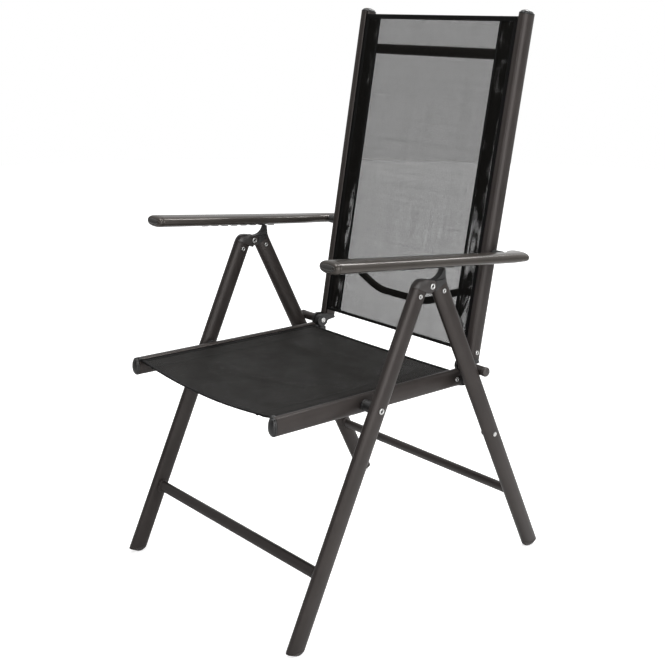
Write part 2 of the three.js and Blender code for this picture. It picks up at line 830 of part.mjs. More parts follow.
function backSling() {
  return onBack(sling(backTubeTop - backSlingTop, backTubeTop - backSlingFoot, backSag)).translate(-railX, 0, 0);
}

// A point given in a leaning frame, seen upright.
function leant([y, z], lean) {
  const angle = radians(lean);
  return [y * Math.cos(angle) - z * Math.sin(angle), y * Math.sin(angle) + z * Math.cos(angle)];
}

function addMesh(group, name, geometry, look) {
  const mesh = new THREE.Mesh(geometry, new THREE.MeshStandardMaterial(look));
  mesh.name = name;
  group.add(mesh);
}

function addPair(group, name, geometry, look) {
  addMesh(group, `${name}_right`, geometry, look);
  addMesh(group, `${name}_left`, mirrored(geometry), look);
}

function frameAt(parent, [y, z], lean) {
  const frame = new THREE.Group();
  frame.position.set(0, y, z);
  frame.rotation.x = radians(lean);
  parent.add(frame);
  return frame;
}

const chair = new THREE.Group();
chair.name = "sling_patio_chair";

const apex = frameAt(chair, [apexSetback, apexHeight], 0);
const frontFrame = frameAt(apex, [0, 0], frontLean);
const rearFrame = frameAt(apex, [0, 0], rearLean);

const seatPivot = leant([-legAxisOffset, -seatPivotDrop], frontLean);
const seatFrame = frameAt(apex, seatPivot, seatTilt);
const linkFoot = leant([legAxisOffset, -linkFootDrop], rearLean);
const linkHead = leant([linkPivotAlong, linkPivotRise], seatTilt).map((part, i) => part + seatPivot[i]);
const linkSpan = linkFoot.map((part, i) => part - linkHead[i]);
const linkLean = THREE.MathUtils.radToDeg(Math.atan2(linkSpan[0], -linkSpan[1]));
const linkFrame = frameAt(seatFrame, [linkPivotAlong, linkPivotRise], linkLean - seatTilt);
const backFrame = frameAt(seatFrame, [backPivotAlong, backPivotRise], backLean - seatTilt);
const armFrame = frameAt(backFrame, [backTubeSetback + armPivotSetback, armPivotRise], armLean);

const knuckleHole = [rivetRadius, legRivetDrop];
const frontHoles = [knuckleHole, [seatPivotRadius, seatPivotDrop]];
const rearHoles = [knuckleHole, [rivetRadius, linkFootDrop]];

function rivetThrough(xFrom, xTo, y, z) {
  return flangedPin(rivetRadius, rivetHeadRadius, xFrom, xTo, y, z);
}

const apexPin = cut(
  flangedPin(apexPinRadius, apexHeadRadius, legInside, legOutside, 0, 0),
  pinHollow(legInside, legOutside),
);
const seatPivotBolt = cut(
  flangedPin(seatPivotRadius, seatPivotHeadRadius, railInside, legOutside, 0, 0),
  pinHollow(railInside, legOutside),
);

addPair(frontFrame, "front_leg", legTube(frontLean, -legAxisOffset, frontHoles), anthracite);
addPair(frontFrame, "front_foot", foot(frontLean, -legAxisOffset), blackPlastic);
addPair(frontFrame, "front_knuckle", frontKnuckle(), blackPlastic);
addPair(frontFrame, "apex_pin", apexPin, silver);
addPair(
  frontFrame,
  "front_knuckle_rivet",
  rivetThrough(legInside, legOutside, -legAxisOffset, -legRivetDrop),
  silver,
);
addMesh(frontFrame, "front_crossbar", crossbar(-legAxisOffset), anthracite);

addPair(rearFrame, "rear_leg", legTube(rearLean, legAxisOffset, rearHoles), anthracite);
addPair(rearFrame, "rear_foot", foot(rearLean, legAxisOffset), blackPlastic);
addPair(rearFrame, "horn_knuckle", hornKnuckle(), blackPlastic);
addPair(
  rearFrame,
  "rear_knuckle_rivet",
  rivetThrough(legInside, legOutside, legAxisOffset, -legRivetDrop),
  silver,
);
addPair(rearFrame, "link_rivet", linkRivet(), silver);
addMesh(rearFrame, "rear_crossbar", crossbar(legAxisOffset), anthracite);

addPair(seatFrame, "seat_pivot_bolt", seatPivotBolt, silver);
addPair(seatFrame, "seat_pivot_spacer", seatPivotSpacer(), blackPlastic);
addPair(seatFrame, "seat_rail", seatRail(), anthracite);
addPair(seatFrame, "seat_front_cap", seatFrontCap(), blackPlastic);
addPair(seatFrame, "seat_hinge_block", seatHingeBlock(), blackPlastic);
addPair(seatFrame, "rail_rivet", rivetThrough(railInside, railOutside, railRivetAlong, 0), silver);
Object.entries(spreaderPlaces).forEach(([place, along]) => {
  addMesh(seatFrame, `seat_spreader_${place}`, spreader().translate(0, along, 0), anthracite);
});
addMesh(seatFrame, "seat_sling", seatSling(), seatCloth);
addPair(linkFrame, "rear_link", rearLink(Math.hypot(...linkSpan)), anthracite);

addPair(backFrame, "stop_rod", stopRod(), anthracite);
addPair(backFrame, "back_lug", backLug(), blackPlastic);
addPair(
  backFrame,
  "back_lug_rivet",
  rivetThrough(railInside, railOutside, backTubeSetback, lugRivetRise),
  silver,
);
addPair(backFrame, "back_tube", backTube(), anthracite);
addPair(backFrame, "back_cap", backCap(), blackPlastic);
addMesh(backFrame, "headrest_bar", headrestBar(), anthracite);
addMesh(backFrame, "lumbar_bow_bar", lumbarBow().translate(0, backTubeSetback, lumbarRise), anthracite);
addMesh(backFrame, "back_sling", backSling(), backCloth);

addPair(armFrame, "arm_pivot_bolt", armPivotBolt(), blackPlastic);
addPair(armFrame, "armrest", armrest(), armSatin);
addPair(armFrame, "armrest_front_cap", armFrontCap(), blackPlastic);
addPair(armFrame, "armrest_rack", armrestRack(), blackPlastic);

export default chair;
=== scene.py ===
"""Folding high-back patio chair: oval powder-coated tubes, a dense seat sling, a see-through back.

The forms are drawn in millimetres in the frame of the part that carries them: the front legs,
the rear legs, the seat, the back or the arms. `piece` sets them in the chair, in metres, and lets
them ride on their body. A finish is the material of that name.
"""
import json
import math
from typing import NamedTuple

import bmesh
import bpy
from bpy.props import FloatProperty, FloatVectorProperty, IntProperty, PointerProperty
from mathutils import Matrix, Vector, noise


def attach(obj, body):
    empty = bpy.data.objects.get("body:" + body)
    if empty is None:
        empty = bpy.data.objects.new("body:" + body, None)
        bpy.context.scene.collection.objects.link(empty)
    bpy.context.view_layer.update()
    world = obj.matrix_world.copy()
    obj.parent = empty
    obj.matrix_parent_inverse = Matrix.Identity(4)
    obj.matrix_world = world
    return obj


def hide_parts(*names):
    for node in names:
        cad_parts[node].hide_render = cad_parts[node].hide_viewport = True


bl_info = {
    "name": "Folding Sling Patio Chair",
    "version": (1, 0, 0),
    "blender": (4, 5, 0),
    "location": "3D View > Sidebar > Patio Chair",
    "description": "Tubes, fittings, slings and studio of a folding patio chair",
    "category": "Object",
}

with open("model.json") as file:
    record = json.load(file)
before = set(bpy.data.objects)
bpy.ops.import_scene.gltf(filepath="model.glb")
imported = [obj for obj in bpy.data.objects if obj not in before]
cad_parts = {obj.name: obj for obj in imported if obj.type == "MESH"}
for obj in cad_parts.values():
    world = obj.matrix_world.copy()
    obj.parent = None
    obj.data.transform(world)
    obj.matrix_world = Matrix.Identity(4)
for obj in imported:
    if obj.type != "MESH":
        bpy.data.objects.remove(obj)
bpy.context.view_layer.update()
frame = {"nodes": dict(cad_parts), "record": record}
BODY_OF = {
    node: body
    for body, members in frame["record"]["behaviour"]["bodies"].items()
    for node in members
}
SIDES = (("right", 1), ("left", -1))
MM, PER_METRE = 0.001, 1000.0

# Places and sections that follow the CAD frame, in millimetres, and leans in degrees.
APEX_SETBACK, APEX_HEIGHT = -13.66, 615.0
FRONT_LEAN, REAR_LEAN, SEAT_TILT, BACK_LEAN, ARM_SLOPE = -25.0, 27.0, -1.4, -9.8, -5.92
OVAL_POWER, ARM_POWER = 2.4, 2.5
LEG_X, LEG_WIDE, LEG_DEEP, LEG_OFFSET, LEG_TOP, FOOT_HEIGHT = 255.0, 20.0, 36.0, 21.0, 14.0, 11.0
SEAT_PIVOT_DROP, KNUCKLE_RIVET_DROP, LINK_RIVET_DROP = -235.5, -25.2, -377.6
CROSSBAR_DROP, CROSSBAR_REACH, CROSSBAR_TALL, CROSSBAR_DEEP = -541.0, 244.7, 21.0, 16.0
RAIL_X, RAIL_WIDE, RAIL_TALL, RAIL_FRONT, RAIL_REAR = 211.0, 22.0, 34.0, 196.0, 250.0
RAIL_INSIDE = RAIL_X - RAIL_WIDE / 2.0
BAR_REACH, HEADREST_HEIGHT, LUMBAR_HEIGHT, LUMBAR_DIP = 199.7, 587.0, 136.0, 41.0
SPREADERS, SPREADER_RISE, SPREADER_BOW = (("front", -96.0), ("rear", 150.0)), -4.0, 17.0
BACK_SETBACK, BACK_FOOT, BACK_TOP = 21.0, 14.5, 660.0
CHANNEL_IN, CHANNEL_RISE, CHANNEL_BORE, CHANNEL_SLOT = 3.6, 12.0, 3.4, 1.05
BEAD_RADIUS, CLOTH_REACH, SEAM_LINE, HEM_LINE = 3.1, 204.6, 2.6, 1.8
ARM_OUTSIDE, ARM_WIDE, ARM_TALL, ARM_FRONT, ARM_REAR = 279.0, 48.0, 22.0, 441.0, 36.0
RACK_FRONT, RACK_REAR, RACK_PLAY = -339.7, -155.7, 0.3
# Share of the armrest's length, share of its width that is gone there, share of its height left.
ARM_PLAN = (
    (0.0, 0.04, 1.0), (0.12, 0.01, 0.98), (0.35, 0.03, 0.95), (0.6, 0.07, 0.92),
    (0.76, 0.13, 0.9), (0.85, 0.26, 0.89), (0.9, 0.3, 0.88), (0.945, 0.28, 0.88),
    (0.972, 0.06, 0.88), (0.985, -0.06, 0.87), (1.0, -0.1, 0.86),
)
# Rivet heads as shares of their radius: the rolled ring, its roll and the dark dish inside, which
# is painted shade in the hollow of the ring.
RING_SHARE, ROLL_SHARE, SHADE_DISH_SHARE = 0.68, 0.3, 0.5
# Spots of gathers and of creases for each metre across and along the cloth.
GATHERS, CREASES = (32.0, 15.0, 1.0), (130.0, 24.0, 1.0)
LOOK_AT = (0.0, -0.012, 0.4702)
# Name, place, aim, width, length and power of each lamp, in metres and watts.
LAMPS = (
    ("overhead", (0.1, -0.2, 2.7), (0.0, 0.0, 0.5), 1.0, 1.0, 36.0),
    ("front strip", (1.9, -2.1, 1.2), (0.0, 0.0, 0.5), 0.12, 2.2, 18.0),
    ("right box", (2.7, 0.0, 1.3), (0.0, 0.0, 0.5), 2.2, 2.2, 60.0),
    ("rear strip", (0.0, 1.6, 2.4), (0.25, 0.0, 0.65), 0.35, 1.0, 34.0),
)


def leaning(parent, y, z, lean):
    """Frame at a point of the parent frame, leant about X by so many degrees."""
    turn = Matrix.Rotation(math.radians(lean), 4, "X")
    return parent @ Matrix.Translation((0.0, y, z)) @ turn


CHAIR = Matrix.Identity(4)
FRONT = leaning(CHAIR, APEX_SETBACK, APEX_HEIGHT, FRONT_LEAN)
REAR = leaning(CHAIR, APEX_SETBACK, APEX_HEIGHT, REAR_LEAN)
SEAT_PIVOT = FRONT @ Vector((0.0, -LEG_OFFSET, SEAT_PIVOT_DROP))
SEAT = leaning(CHAIR, SEAT_PIVOT.y, SEAT_PIVOT.z, SEAT_TILT)
BACK = leaning(SEAT, 269.5, 20.8, BACK_LEAN - SEAT_TILT)
ARM = leaning(BACK, 22.0, 218.3, ARM_SLOPE - BACK_LEAN)


class Form(NamedTuple):
    """Points in millimetres, the faces between them, their finish and their spots on the cloth."""

    points: list
    faces: list
    mark: int = 0
    weave: list = None


def evenly(start, end, steps):
    """Values from start to end in so many equal steps."""
    return [start + (end - start) * i / steps for i in range(steps + 1)]


def turns(count):
    """Angles once round, in radians."""
    return [2.0 * math.pi * i / count for i in range(count)]


def smooth(low, high, value):
    """Share from 0 to 1 that eases in and out between two values."""
    share = min(1.0, max(0.0, (value - low) / (high - low)))
    return share * share * (3.0 - 2.0 * share)


def oval(wide, tall, x=0.0, y=0.0, sides=64, power=OVAL_POWER, inset=0.0):
    """Oval with slightly flattened sides, counterclockwise from +X."""
    ring = []
    for angle in turns(sides):
        c, s = math.cos(angle), math.sin(angle)
        across = math.copysign(abs(c) ** (2.0 / power), c)
        along = math.copysign(abs(s) ** (2.0 / power), s)
        ring.append((x + across * (wide - 2 * inset) / 2.0, y + along * (tall - 2 * inset) / 2.0))
    return ring


def oval_reach(half, share):
    """Half the width of an oval at a share of half its height."""
    return half * (1.0 - min(1.0, max(0.0, share)) ** OVAL_POWER) ** (1.0 / OVAL_POWER)


def loft(rings, mark=0, weave=None, closed=True, capped=True):
    """Skin over rings of equal count."""
    count = len(rings[0])
    points = [point for ring in rings for point in ring]
    faces = []
    for row in range(len(rings) - 1):
        for i in range(count if closed else count - 1):
            a = row * count + i
            b = row * count + (i + 1) % count
            faces.append((a, b, b + count, a + count))
    if capped:
        faces.append(tuple(reversed(range(count))))
        faces.append(tuple(range(len(points) - count, len(points))))
    return Form(points, faces, mark, weave)


def turned(profile, y=0.0, z=0.0, sides=40, mark=0):
    """Round form about the X direction from (x, radius) pairs."""
    return loft([
        [(x, y + radius * math.cos(t), z + radius * math.sin(t)) for t in turns(sides)]
        for x, radius in profile
    ], mark)


def swept(path, wide, tall, sides=48):
    """Oval bar along a path of (x, y, z) points across the chair, tall along Z, wide along Y."""
    rings = []
    for i, spot in enumerate(path):
        before = Vector(path[max(i - 1, 0)])
        after = Vector(path[min(i + 1, len(path) - 1)])
        ahead = (after - before).normalized()
        up = ahead.cross(Vector((0.0, 1.0, 0.0))).normalized() * -1.0
        deep = up.cross(ahead).normalized()
        section = oval(wide, tall, sides=sides)
        rings.append([tuple(Vector(spot) + deep * a + up * b) for a, b in section])
    return loft(rings)


def new_object(name, data):
    made = bpy.data.objects.new(name, data)
    bpy.context.scene.collection.objects.link(made)
    return made


def new_mesh(name, points, faces, outwards=True):
    """Mesh in metres; its faces are turned outwards unless it is an open layer."""
    mesh = bpy.data.meshes.new(name)
    mesh.from_pydata(points, [], faces)
    if outwards:
        shell = bmesh.new()
        shell.from_mesh(mesh)
        bmesh.ops.recalc_face_normals(shell, faces=shell.faces)
        shell.to_mesh(mesh)
        shell.free()
    return mesh


def in_chair(place, side, points):
    return [place @ Vector((side * x, y, z)) * MM for x, y, z in points]


def piece(
    name, forms, place, finishes, nodes=(), side=1, slot=None, body=None, angle=32.0, closed=True,
):
    """Sets the forms in the chair as one named piece, and hides the nodes it stands for."""
    points, faces, marks, weave = [], [], [], []
    for form in forms:
        start = len(points)
        points += in_chair(place, side, form.points)
        faces += [tuple(start + i for i in face) for face in form.faces]
        marks += [form.mark] * len(form.faces)
        weave += form.weave or [(0.0, 0.0)] * len(form.points)
    mesh = new_mesh(name, points, faces, closed)
    mesh.polygons.foreach_set("material_index", marks)
    if any(form.weave for form in forms):
        layer = mesh.uv_layers.new(name="weave")
        for loop in mesh.loops:
            layer.data[loop.index].uv = weave[loop.vertex_index]
    return finished(name, mesh, finishes, nodes, body, angle)


def stand_in(node, forms, place, finish, side=1, angle=32.0):
    """Sets the forms in the chair in place of one node; finish is a name or a list of names."""
    finishes = [finish] if isinstance(finish, str) else finish
    return piece(f"{node}_form", forms, place, finishes, [node], side, angle=angle)


def finished(name, mesh, finishes, nodes=(), body=None, angle=32.0):
    """Gives a mesh its finishes and its body, and hides the nodes it stands for."""
    for finish in finishes:
        mesh.materials.append(bpy.data.materials[finish])
    mesh.shade_smooth()
    mesh.set_sharp_from_angle(angle=math.radians(angle))
    made = new_object(name, mesh)
    if nodes:
        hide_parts(*nodes)
    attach(made, body or BODY_OF[nodes[0]])
    return made


# The corners of a fitting are drawn in to its tube's oval. Each function gives, for a point in the
# part's frame, how far it is out along the oval's height and how strongly the oval holds there.
# NIB is the weight of the nib behind the front leg, which is also held inside the leg's depth.
NIB, NIB_END = 2.0, -LEG_OFFSET + 17.6


def front_shoulder(y, z):
    if -32.0 < z < -14.6:
        return (y + LEG_OFFSET) / 18.0, NIB if y > -LEG_OFFSET + 9.0 else 0.0
    share = math.hypot((-21.0 - y) / 18.0, max(0.0, z + LEG_TOP) / 20.0)
    return share, smooth(15.0, 27.0, -y) if -14.6 < z < 7.0 else 0.0


def rear_shoulder(y, z):
    return (y - 21.0) / 18.0, smooth(20.0, 26.0, y) if -14.6 < z < 2.6 else 0.0


def lug_heel(y, z):
    in_reach = 6.0 < z < BACK_FOOT + 0.2
    return (y - BACK_SETBACK) / 17.0, smooth(20.0, 25.0, y) if in_reach else 0.0


def block_end(y, z):
    return abs(z) / 17.0, 1.0 - smooth(252.0, 264.0, y) if y > RAIL_REAR else 0.0


# Part's frame, tube's middle, half its width, least half width, function, and the cuts that give
# the fitting enough corners to bend, as an axis (1 is Y, 2 is Z) and places along it.
Y_CUTS, Z_CUTS = 1, 2
HEEL_CUTS = (Y_CUTS, (23.0, 26.0, 29.0, 32.0, 34.5, 36.5))
SHOULDERS = {
    "front_knuckle": (
        FRONT, LEG_X, 10.0, 0.6, front_shoulder, (
            (Y_CUTS, (
                -5.0, -7.0, -9.5, -12.0, -17.0, -20.0, -24.0, -28.0, -31.0, -33.5, -35.5, -37.0,
                -38.2,
            )),
            (Z_CUTS, (-14.8, -11.0, -7.0, -3.0, 0.0, 2.5)),
        ),
    ),
    "horn_knuckle": (REAR, LEG_X, 10.0, 6.0, rear_shoulder, (HEEL_CUTS, (Z_CUTS, (2.4,)))),
    "back_lug": (BACK, RAIL_X, 11.0, 2.5, lug_heel, (HEEL_CUTS, (Z_CUTS, (10.0,)))),
    "seat_hinge_block": (
        SEAT, RAIL_X, 11.0, 3.5, block_end, (
            (Z_CUTS, (-16.0, -14.5, -12.5, -10.0, -6.0, 6.0, 10.0, 12.5, 14.5, 16.0)),
            (Y_CUTS, (253.0, 256.0, 260.0)),
        ),
    ),
}


def drawn_in(shell, side, place, middle, half, least, share_of, cuts):
    """Draws the corners of a fitting in to the oval of its tube."""
    turn = place.to_3x3()
    for axis, marks in cuts:
        for mark in marks:
            spot, across = Vector(), Vector()
            spot[axis], across[axis] = mark, 1.0
            everything = shell.verts[:] + shell.edges[:] + shell.faces[:]
            bmesh.ops.bisect_plane(
                shell, geom=everything, dist=1e-7,
                plane_co=place @ spot * MM, plane_no=turn @ across,
            )
    back = place.inverted()
    for vert in shell.verts:
        x, y, z = back @ (vert.co * PER_METRE)
        off = side * x - middle
        share, weight = share_of(y, z)
        if weight <= 0.0 or abs(off) > half + 0.5:
            continue
        if weight == NIB:
            y, weight = min(y, NIB_END), 1.0
        limit = half + (max(least, oval_reach(half, share)) - half) * weight
        if abs(off) > limit:
            off = math.copysign(limit, off)
        vert.co = place @ Vector((side * (middle + off), y, z)) * MM


def polished(node, finish, edge):
    """Merged copy of a CAD node with rounded edges, in place of the node."""
    mesh = frame["nodes"][node].data.copy()
    mesh.materials.clear()
    mesh.name = f"{node}_form"
    shell = bmesh.new()
    shell.from_mesh(mesh)
    bmesh.ops.remove_doubles(shell, verts=shell.verts, dist=1e-6)
    bmesh.ops.dissolve_limit(
        shell, angle_limit=math.radians(0.8), verts=shell.verts, edges=shell.edges,
    )
    kind, word = node.rsplit("_", 1)
    if kind in SHOULDERS:
        drawn_in(shell, dict(SIDES)[word], *SHOULDERS[kind])
    shell.to_mesh(mesh)
    shell.free()
    made = finished(f"{node}_form", mesh, [finish], [node], angle=35.0)
    rounding = made.modifiers.new("rounded edges", "BEVEL")
    rounding.width = edge * MM
    rounding.segments = 2
    rounding.limit_method = "ANGLE"
    rounding.angle_limit = math.radians(38.0)
    rounding.harden_normals = True
    return made


def fill(tree, node, values):
    """Sets the sockets of a node to values, or wires them to other sockets."""
    for key, value in values.items():
        if isinstance(value, bpy.types.NodeSocket):
            tree.links.new(value, node.inputs[key])
        else:
            node.inputs[key].default_value = value


def knot(tree, kind, values=None, **traits):
    """One node of a tree, with its traits set and its sockets filled."""
    made = tree.nodes.new(kind)
    for trait, value in traits.items():
        setattr(made, trait, value)
    fill(tree, made, values or {})
    return made


def sums(tree, operation, *terms):
    return knot(tree, "ShaderNodeMath", dict(enumerate(terms)), operation=operation).outputs[0]


def vectors(tree, operation, first, second=None):
    values = {0: first} if second is None else {0: first, 1: second}
    return knot(tree, "ShaderNodeVectorMath", values, operation=operation).outputs


def levels(tree, share, low, high, to_low, to_high, **traits):
    values = {
        "Value": share, "From Min": low, "From Max": high, "To Min": to_low, "To Max": to_high,
    }
    return knot(tree, "ShaderNodeMapRange", values, **traits).outputs["Result"]


def shades(tree, share, stops):
    """Colour ramp from two (place, colour) stops."""
    made = knot(tree, "ShaderNodeValToRGB", {"Fac": share})
    for element, (place, colour) in zip(made.color_ramp.elements, stops):
        element.position = place
        element.color = (*colour, 1.0)
    return made.outputs["Color"]


def mixed(tree, share, first, second):
    """Mix of two colours, each a socket or a plain colour."""
    values = {0: share}
    for key, colour in ((6, first), (7, second)):
        values[key] = (*colour, 1.0) if isinstance(colour, tuple) else colour
    return knot(tree, "ShaderNodeMix", values, data_type="RGBA").outputs[2]


def clouds(tree, where, scale, detail):
    values = {"Vector": where, "Scale": scale, "Detail": detail}
    return knot(tree, "ShaderNodeTexNoise", values).outputs["Fac"]


def drawn_clouds(tree, where, stretch, detail):
    return clouds(tree, vectors(tree, "MULTIPLY", where, stretch)[0], 1.0, detail)


def relief(tree, strength, distance, height, **below):
    values = {"Strength": strength, "Distance": distance, "Height": height, **below}
    return knot(tree, "ShaderNodeBump", values).outputs["Normal"]


def toned(colour, factor):
    return tuple(min(1.0, part * factor) for part in colour)


def new_finish(name):
    """New material: its tree and its surface."""
    material = bpy.data.materials.new(name)
    material.use_nodes = True
    return material.node_tree, material.node_tree.nodes["Principled BSDF"]


def on_object(tree):
    return knot(tree, "ShaderNodeTexCoord").outputs["Object"]


def powder_coat(name, colour, metallic, rough, grain, rub, depth):
    """Baked powder coat: fine orange peel, cloudy gloss and small lighter specks, painted glints
    in its colour.
    """
    tree, surface = new_finish(name)
    where = on_object(tree)
    peel = clouds(tree, where, grain, 2.0)
    cloud = clouds(tree, where, 14.0, 5.0)
    # Painted glints: tiny spots of lighter base colour that stand for the sparkle of the coat.
    glint_spots = knot(tree, "ShaderNodeTexVoronoi", {"Vector": where, "Scale": 700.0})
    painted_glint = levels(tree, glint_spots.outputs["Distance"], 0.0, 0.12, 1.0, 0.0)
    tone = shades(tree, cloud, [(0.3, toned(colour, 0.86)), (0.7, toned(colour, 1.14))])
    gloss = levels(tree, cloud, 0.3, 0.7, rough - rub, rough + rub)
    fill(tree, surface, {
        "Base Color": mixed(tree, sums(tree, "MULTIPLY", painted_glint, 0.25), tone, toned(colour, 2.4)),
        "Metallic": metallic,
        "Specular IOR Level": 0.28,
        "Roughness": sums(tree, "MULTIPLY_ADD", peel, 0.08, gloss),
        "Normal": relief(tree, depth, 0.0002, peel),
    })


def moulded(name, colour, rough, grain, depth):
    """Moulded plastic: pebbled grain, edges rubbed a little lighter, faint handling marks."""
    tree, surface = new_finish(name)
    where = on_object(tree)
    pebble = knot(
        tree, "ShaderNodeTexVoronoi", {"Vector": where, "Scale": grain}, feature="SMOOTH_F1",
    )
    marks = clouds(tree, where, 60.0, 6.0)
    edges = knot(tree, "ShaderNodeNewGeometry").outputs["Pointiness"]
    worn = levels(tree, edges, 0.51, 0.6, 0.0, 1.0)
    tone = shades(tree, marks, [(0.35, toned(colour, 0.85)), (0.7, toned(colour, 1.2))])
    fill(tree, surface, {
        "Base Color": mixed(tree, sums(tree, "MULTIPLY", worn, 0.5), tone, toned(colour, 2.6)),
        "Roughness": levels(tree, marks, 0.3, 0.75, rough + 0.06, rough - 0.08),
        "Normal": relief(tree, depth, 0.0002, pebble.outputs["Distance"]),
    })


def plated(name, colour, rough):
    """Bright zinc plate: turned lines and cloudy passivation."""
    tree, surface = new_finish(name)
    where = on_object(tree)
    streak = clouds(tree, where, 900.0, 4.0)
    cloud = clouds(tree, where, 120.0, 3.0)
    fill(tree, surface, {
        "Base Color": shades(tree, cloud, [(0.35, toned(colour, 0.8)), (0.65, colour)]),
        "Metallic": 1.0,
        "Roughness": levels(tree, streak, 0.3, 0.7, rough - 0.08, rough + 0.12),
        "Normal": relief(tree, 0.2, 0.0001, streak),
    })


def woven(name, warp, pitch, cover, rough, gloss, creases=0.0, gather=0.0, foot_cover=0.0):
    """Plain weave of coated yarn on the piece's own weave map, in metres, open between the yarns.

    cover is the share of the pitch that a yarn takes, gather varies it in bunches, and the last
    argument adds to it towards the foot of the cloth, which is darker and less open there.
    """
    tree, surface = new_finish(name)
    spot = knot(tree, "ShaderNodeUVMap", uv_map="weave").outputs["UV"]
    axes = knot(tree, "ShaderNodeSeparateXYZ", {"Vector": spot}).outputs
    spread = min(0.04, 1.0 - cover)
    counts, lots, apart, bare = [], [], [], []
    for k in (0, 1):
        place = sums(tree, "MULTIPLY", axes[k], 1.0 / pitch)
        count = sums(tree, "FLOOR", place)
        gap = sums(tree, "ABSOLUTE", sums(tree, "SUBTRACT", sums(tree, "FRACT", place), 0.5))
        lot = knot(
            tree, "ShaderNodeTexWhiteNoise", {"W": count}, noise_dimensions="1D",
        ).outputs["Value"]
        counts.append(count)
        lots.append(lot)
        apart.append(gap)
        strayed = sums(tree, "MULTIPLY_ADD", lot, spread, -spread / 2.0)
        bare.append(sums(tree, "SUBTRACT", gap, strayed))
    bunch = drawn_clouds(tree, spot, GATHERS, 1.0)
    drawn_up = levels(tree, bunch, 0.4, 0.62, -gather, gather)
    cover_by_height = levels(tree, axes[1], 0.0, 0.35, cover / 2.0 + foot_cover, cover / 2.0)
    half = sums(tree, "MULTIPLY_ADD", drawn_up, 0.5, cover_by_height)
    low, high = sums(tree, "SUBTRACT", half, 0.03), sums(tree, "ADD", half, 0.03)
    there = [levels(tree, gap, low, high, 1.0, 0.0) for gap in bare]
    parity = sums(tree, "MODULO", sums(tree, "ADD", counts[0], counts[1]), 2.0)
    crown = [levels(tree, gap, 0.0, cover / 2.0, 1.0, 0.0) for gap in apart]
    warp_top = sums(tree, "MULTIPLY", crown[0], sums(tree, "MULTIPLY_ADD", parity, 0.5, 0.5))
    weft_top = sums(tree, "MULTIPLY", crown[1], sums(tree, "MULTIPLY_ADD", parity, -0.5, 1.0))
    height = sums(tree, "MAXIMUM", warp_top, weft_top)
    warp_up = sums(tree, "GREATER_THAN", warp_top, weft_top)
    # Painted fold shade: broad patches darken and lighten the yarn's colour as the shade and sheen
    # over folds would, and also vary its roughness; each yarn also gets its own random tone.
    painted_fold_shade = clouds(tree, spot, 9.0, 4.0)
    fold_shade_and_yarn_tone = sums(tree, "MULTIPLY_ADD", painted_fold_shade, 0.5, 0.6)
    fold_shade_and_yarn_tone = sums(tree, "MULTIPLY_ADD", lots[0], 0.3, fold_shade_and_yarn_tone)
    base = mixed(tree, warp_up, toned(warp, 0.8), warp)
    tone = knot(tree, "ShaderNodeVectorMath", {0: base, "Scale": fold_shade_and_yarn_tone}, operation="SCALE")
    crease = drawn_clouds(tree, spot, CREASES, 3.0)
    sunk = relief(tree, creases, 0.003, crease)
    fill(tree, surface, {
        "Base Color": tone.outputs[0],
        "Alpha": sums(tree, "MAXIMUM", there[0], there[1]),
        "Roughness": levels(tree, painted_fold_shade, 0.3, 0.7, rough - 0.08, rough + 0.08),
        "Specular IOR Level": gloss,
        "Normal": relief(tree, 0.5, 0.0004, height, Normal=sunk),
    })


def length(name, about, default, low, high):
    """Setting in metres."""
    return FloatProperty(
        name=name, description=about, default=default, min=low, max=high,
        unit="LENGTH", subtype="DISTANCE",
    )


def factor(name, about, default, low, high, **traits):
    """Setting for a share or a level."""
    return FloatProperty(
        name=name, description=about, default=default, min=low, max=high, **traits,
    )


def tint(name, about, *default):
    """Setting for a linear colour."""
    return FloatVectorProperty(
        name=name, description=about, default=default, min=0.0, max=1.0, subtype="COLOR", size=3,
    )


def angle_of(name, about, degrees):
    return FloatProperty(
        name=name, description=about, default=math.radians(degrees), subtype="ANGLE",
    )


class ChairSizes(bpy.types.PropertyGroup):
    """Sizes of the details that a user would change."""

    pocket: length("Pocket width", "Width of both slings' sewn side pockets", 0.040, 0.02, 0.06)
    hem_top: length("Top hem", "Hem at the back's top and the seat's front", 0.0095, 0.005, 0.03)
    hem_foot: length("Foot hem", "Hem at the back's foot and the seat's rear", 0.0065, 0.004, 0.03)
    stitch_pitch: length("Stitch pitch", "From one stitch to the next", 0.0042, 0.002, 0.01)
    stitch_length: length("Stitch length", "Length of one stitch", 0.0030, 0.001, 0.008)
    thread: length("Thread", "Thickness of the sewing thread", 0.0006, 0.0003, 0.0015)
    back_pitch: length("Back weave", "Between the back sling's yarns", 0.0013, 0.001, 0.005)
    back_cover: factor(
        "Back yarn share", "Share of the pitch that a yarn of the back sling covers",
        0.514, 0.2, 0.98, subtype="FACTOR",
    )
    seat_pitch: length("Seat weave", "Between the seat sling's yarns", 0.0013, 0.001, 0.005)
    seat_cover: factor(
        "Seat yarn share", "Share of the pitch that a yarn of the seat sling covers",
        0.965, 0.2, 0.99, subtype="FACTOR",
    )
    edge: length("Moulded edge", "Rounding of the moulded fittings", 0.0006, 0.0001, 0.002)
    tube_sides: IntProperty(
        name="Tube sides", description="Points round each oval tube", default=72, min=24, max=128,
    )


class ChairColours(bpy.types.PropertyGroup):
    """Colours of the finishes, linear."""

    frame: tint("Frame coat", "Powder coat of the tubes", 0.034, 0.0285, 0.0265)
    arms: tint("Arm coat", "Smoother coat of the armrests", 0.050, 0.044, 0.039)
    plastic: tint("Fittings", "Plastic of caps, horns and lugs", 0.0085, 0.0082, 0.0082)
    zinc: tint("Rivets", "Bright plated steel of rivets and pins", 0.60, 0.60, 0.59)
    seat_cloth: tint("Seat yarn", "Yarn of the seat sling", 0.0096, 0.0086, 0.0076)
    back_cloth: tint("Back yarn", "Yarn of the back sling", 0.0048, 0.0044, 0.0038)
    pocket_cloth: tint("Pocket yarn", "Doubled cloth of pockets and hems", 0.0042, 0.0041, 0.0040)


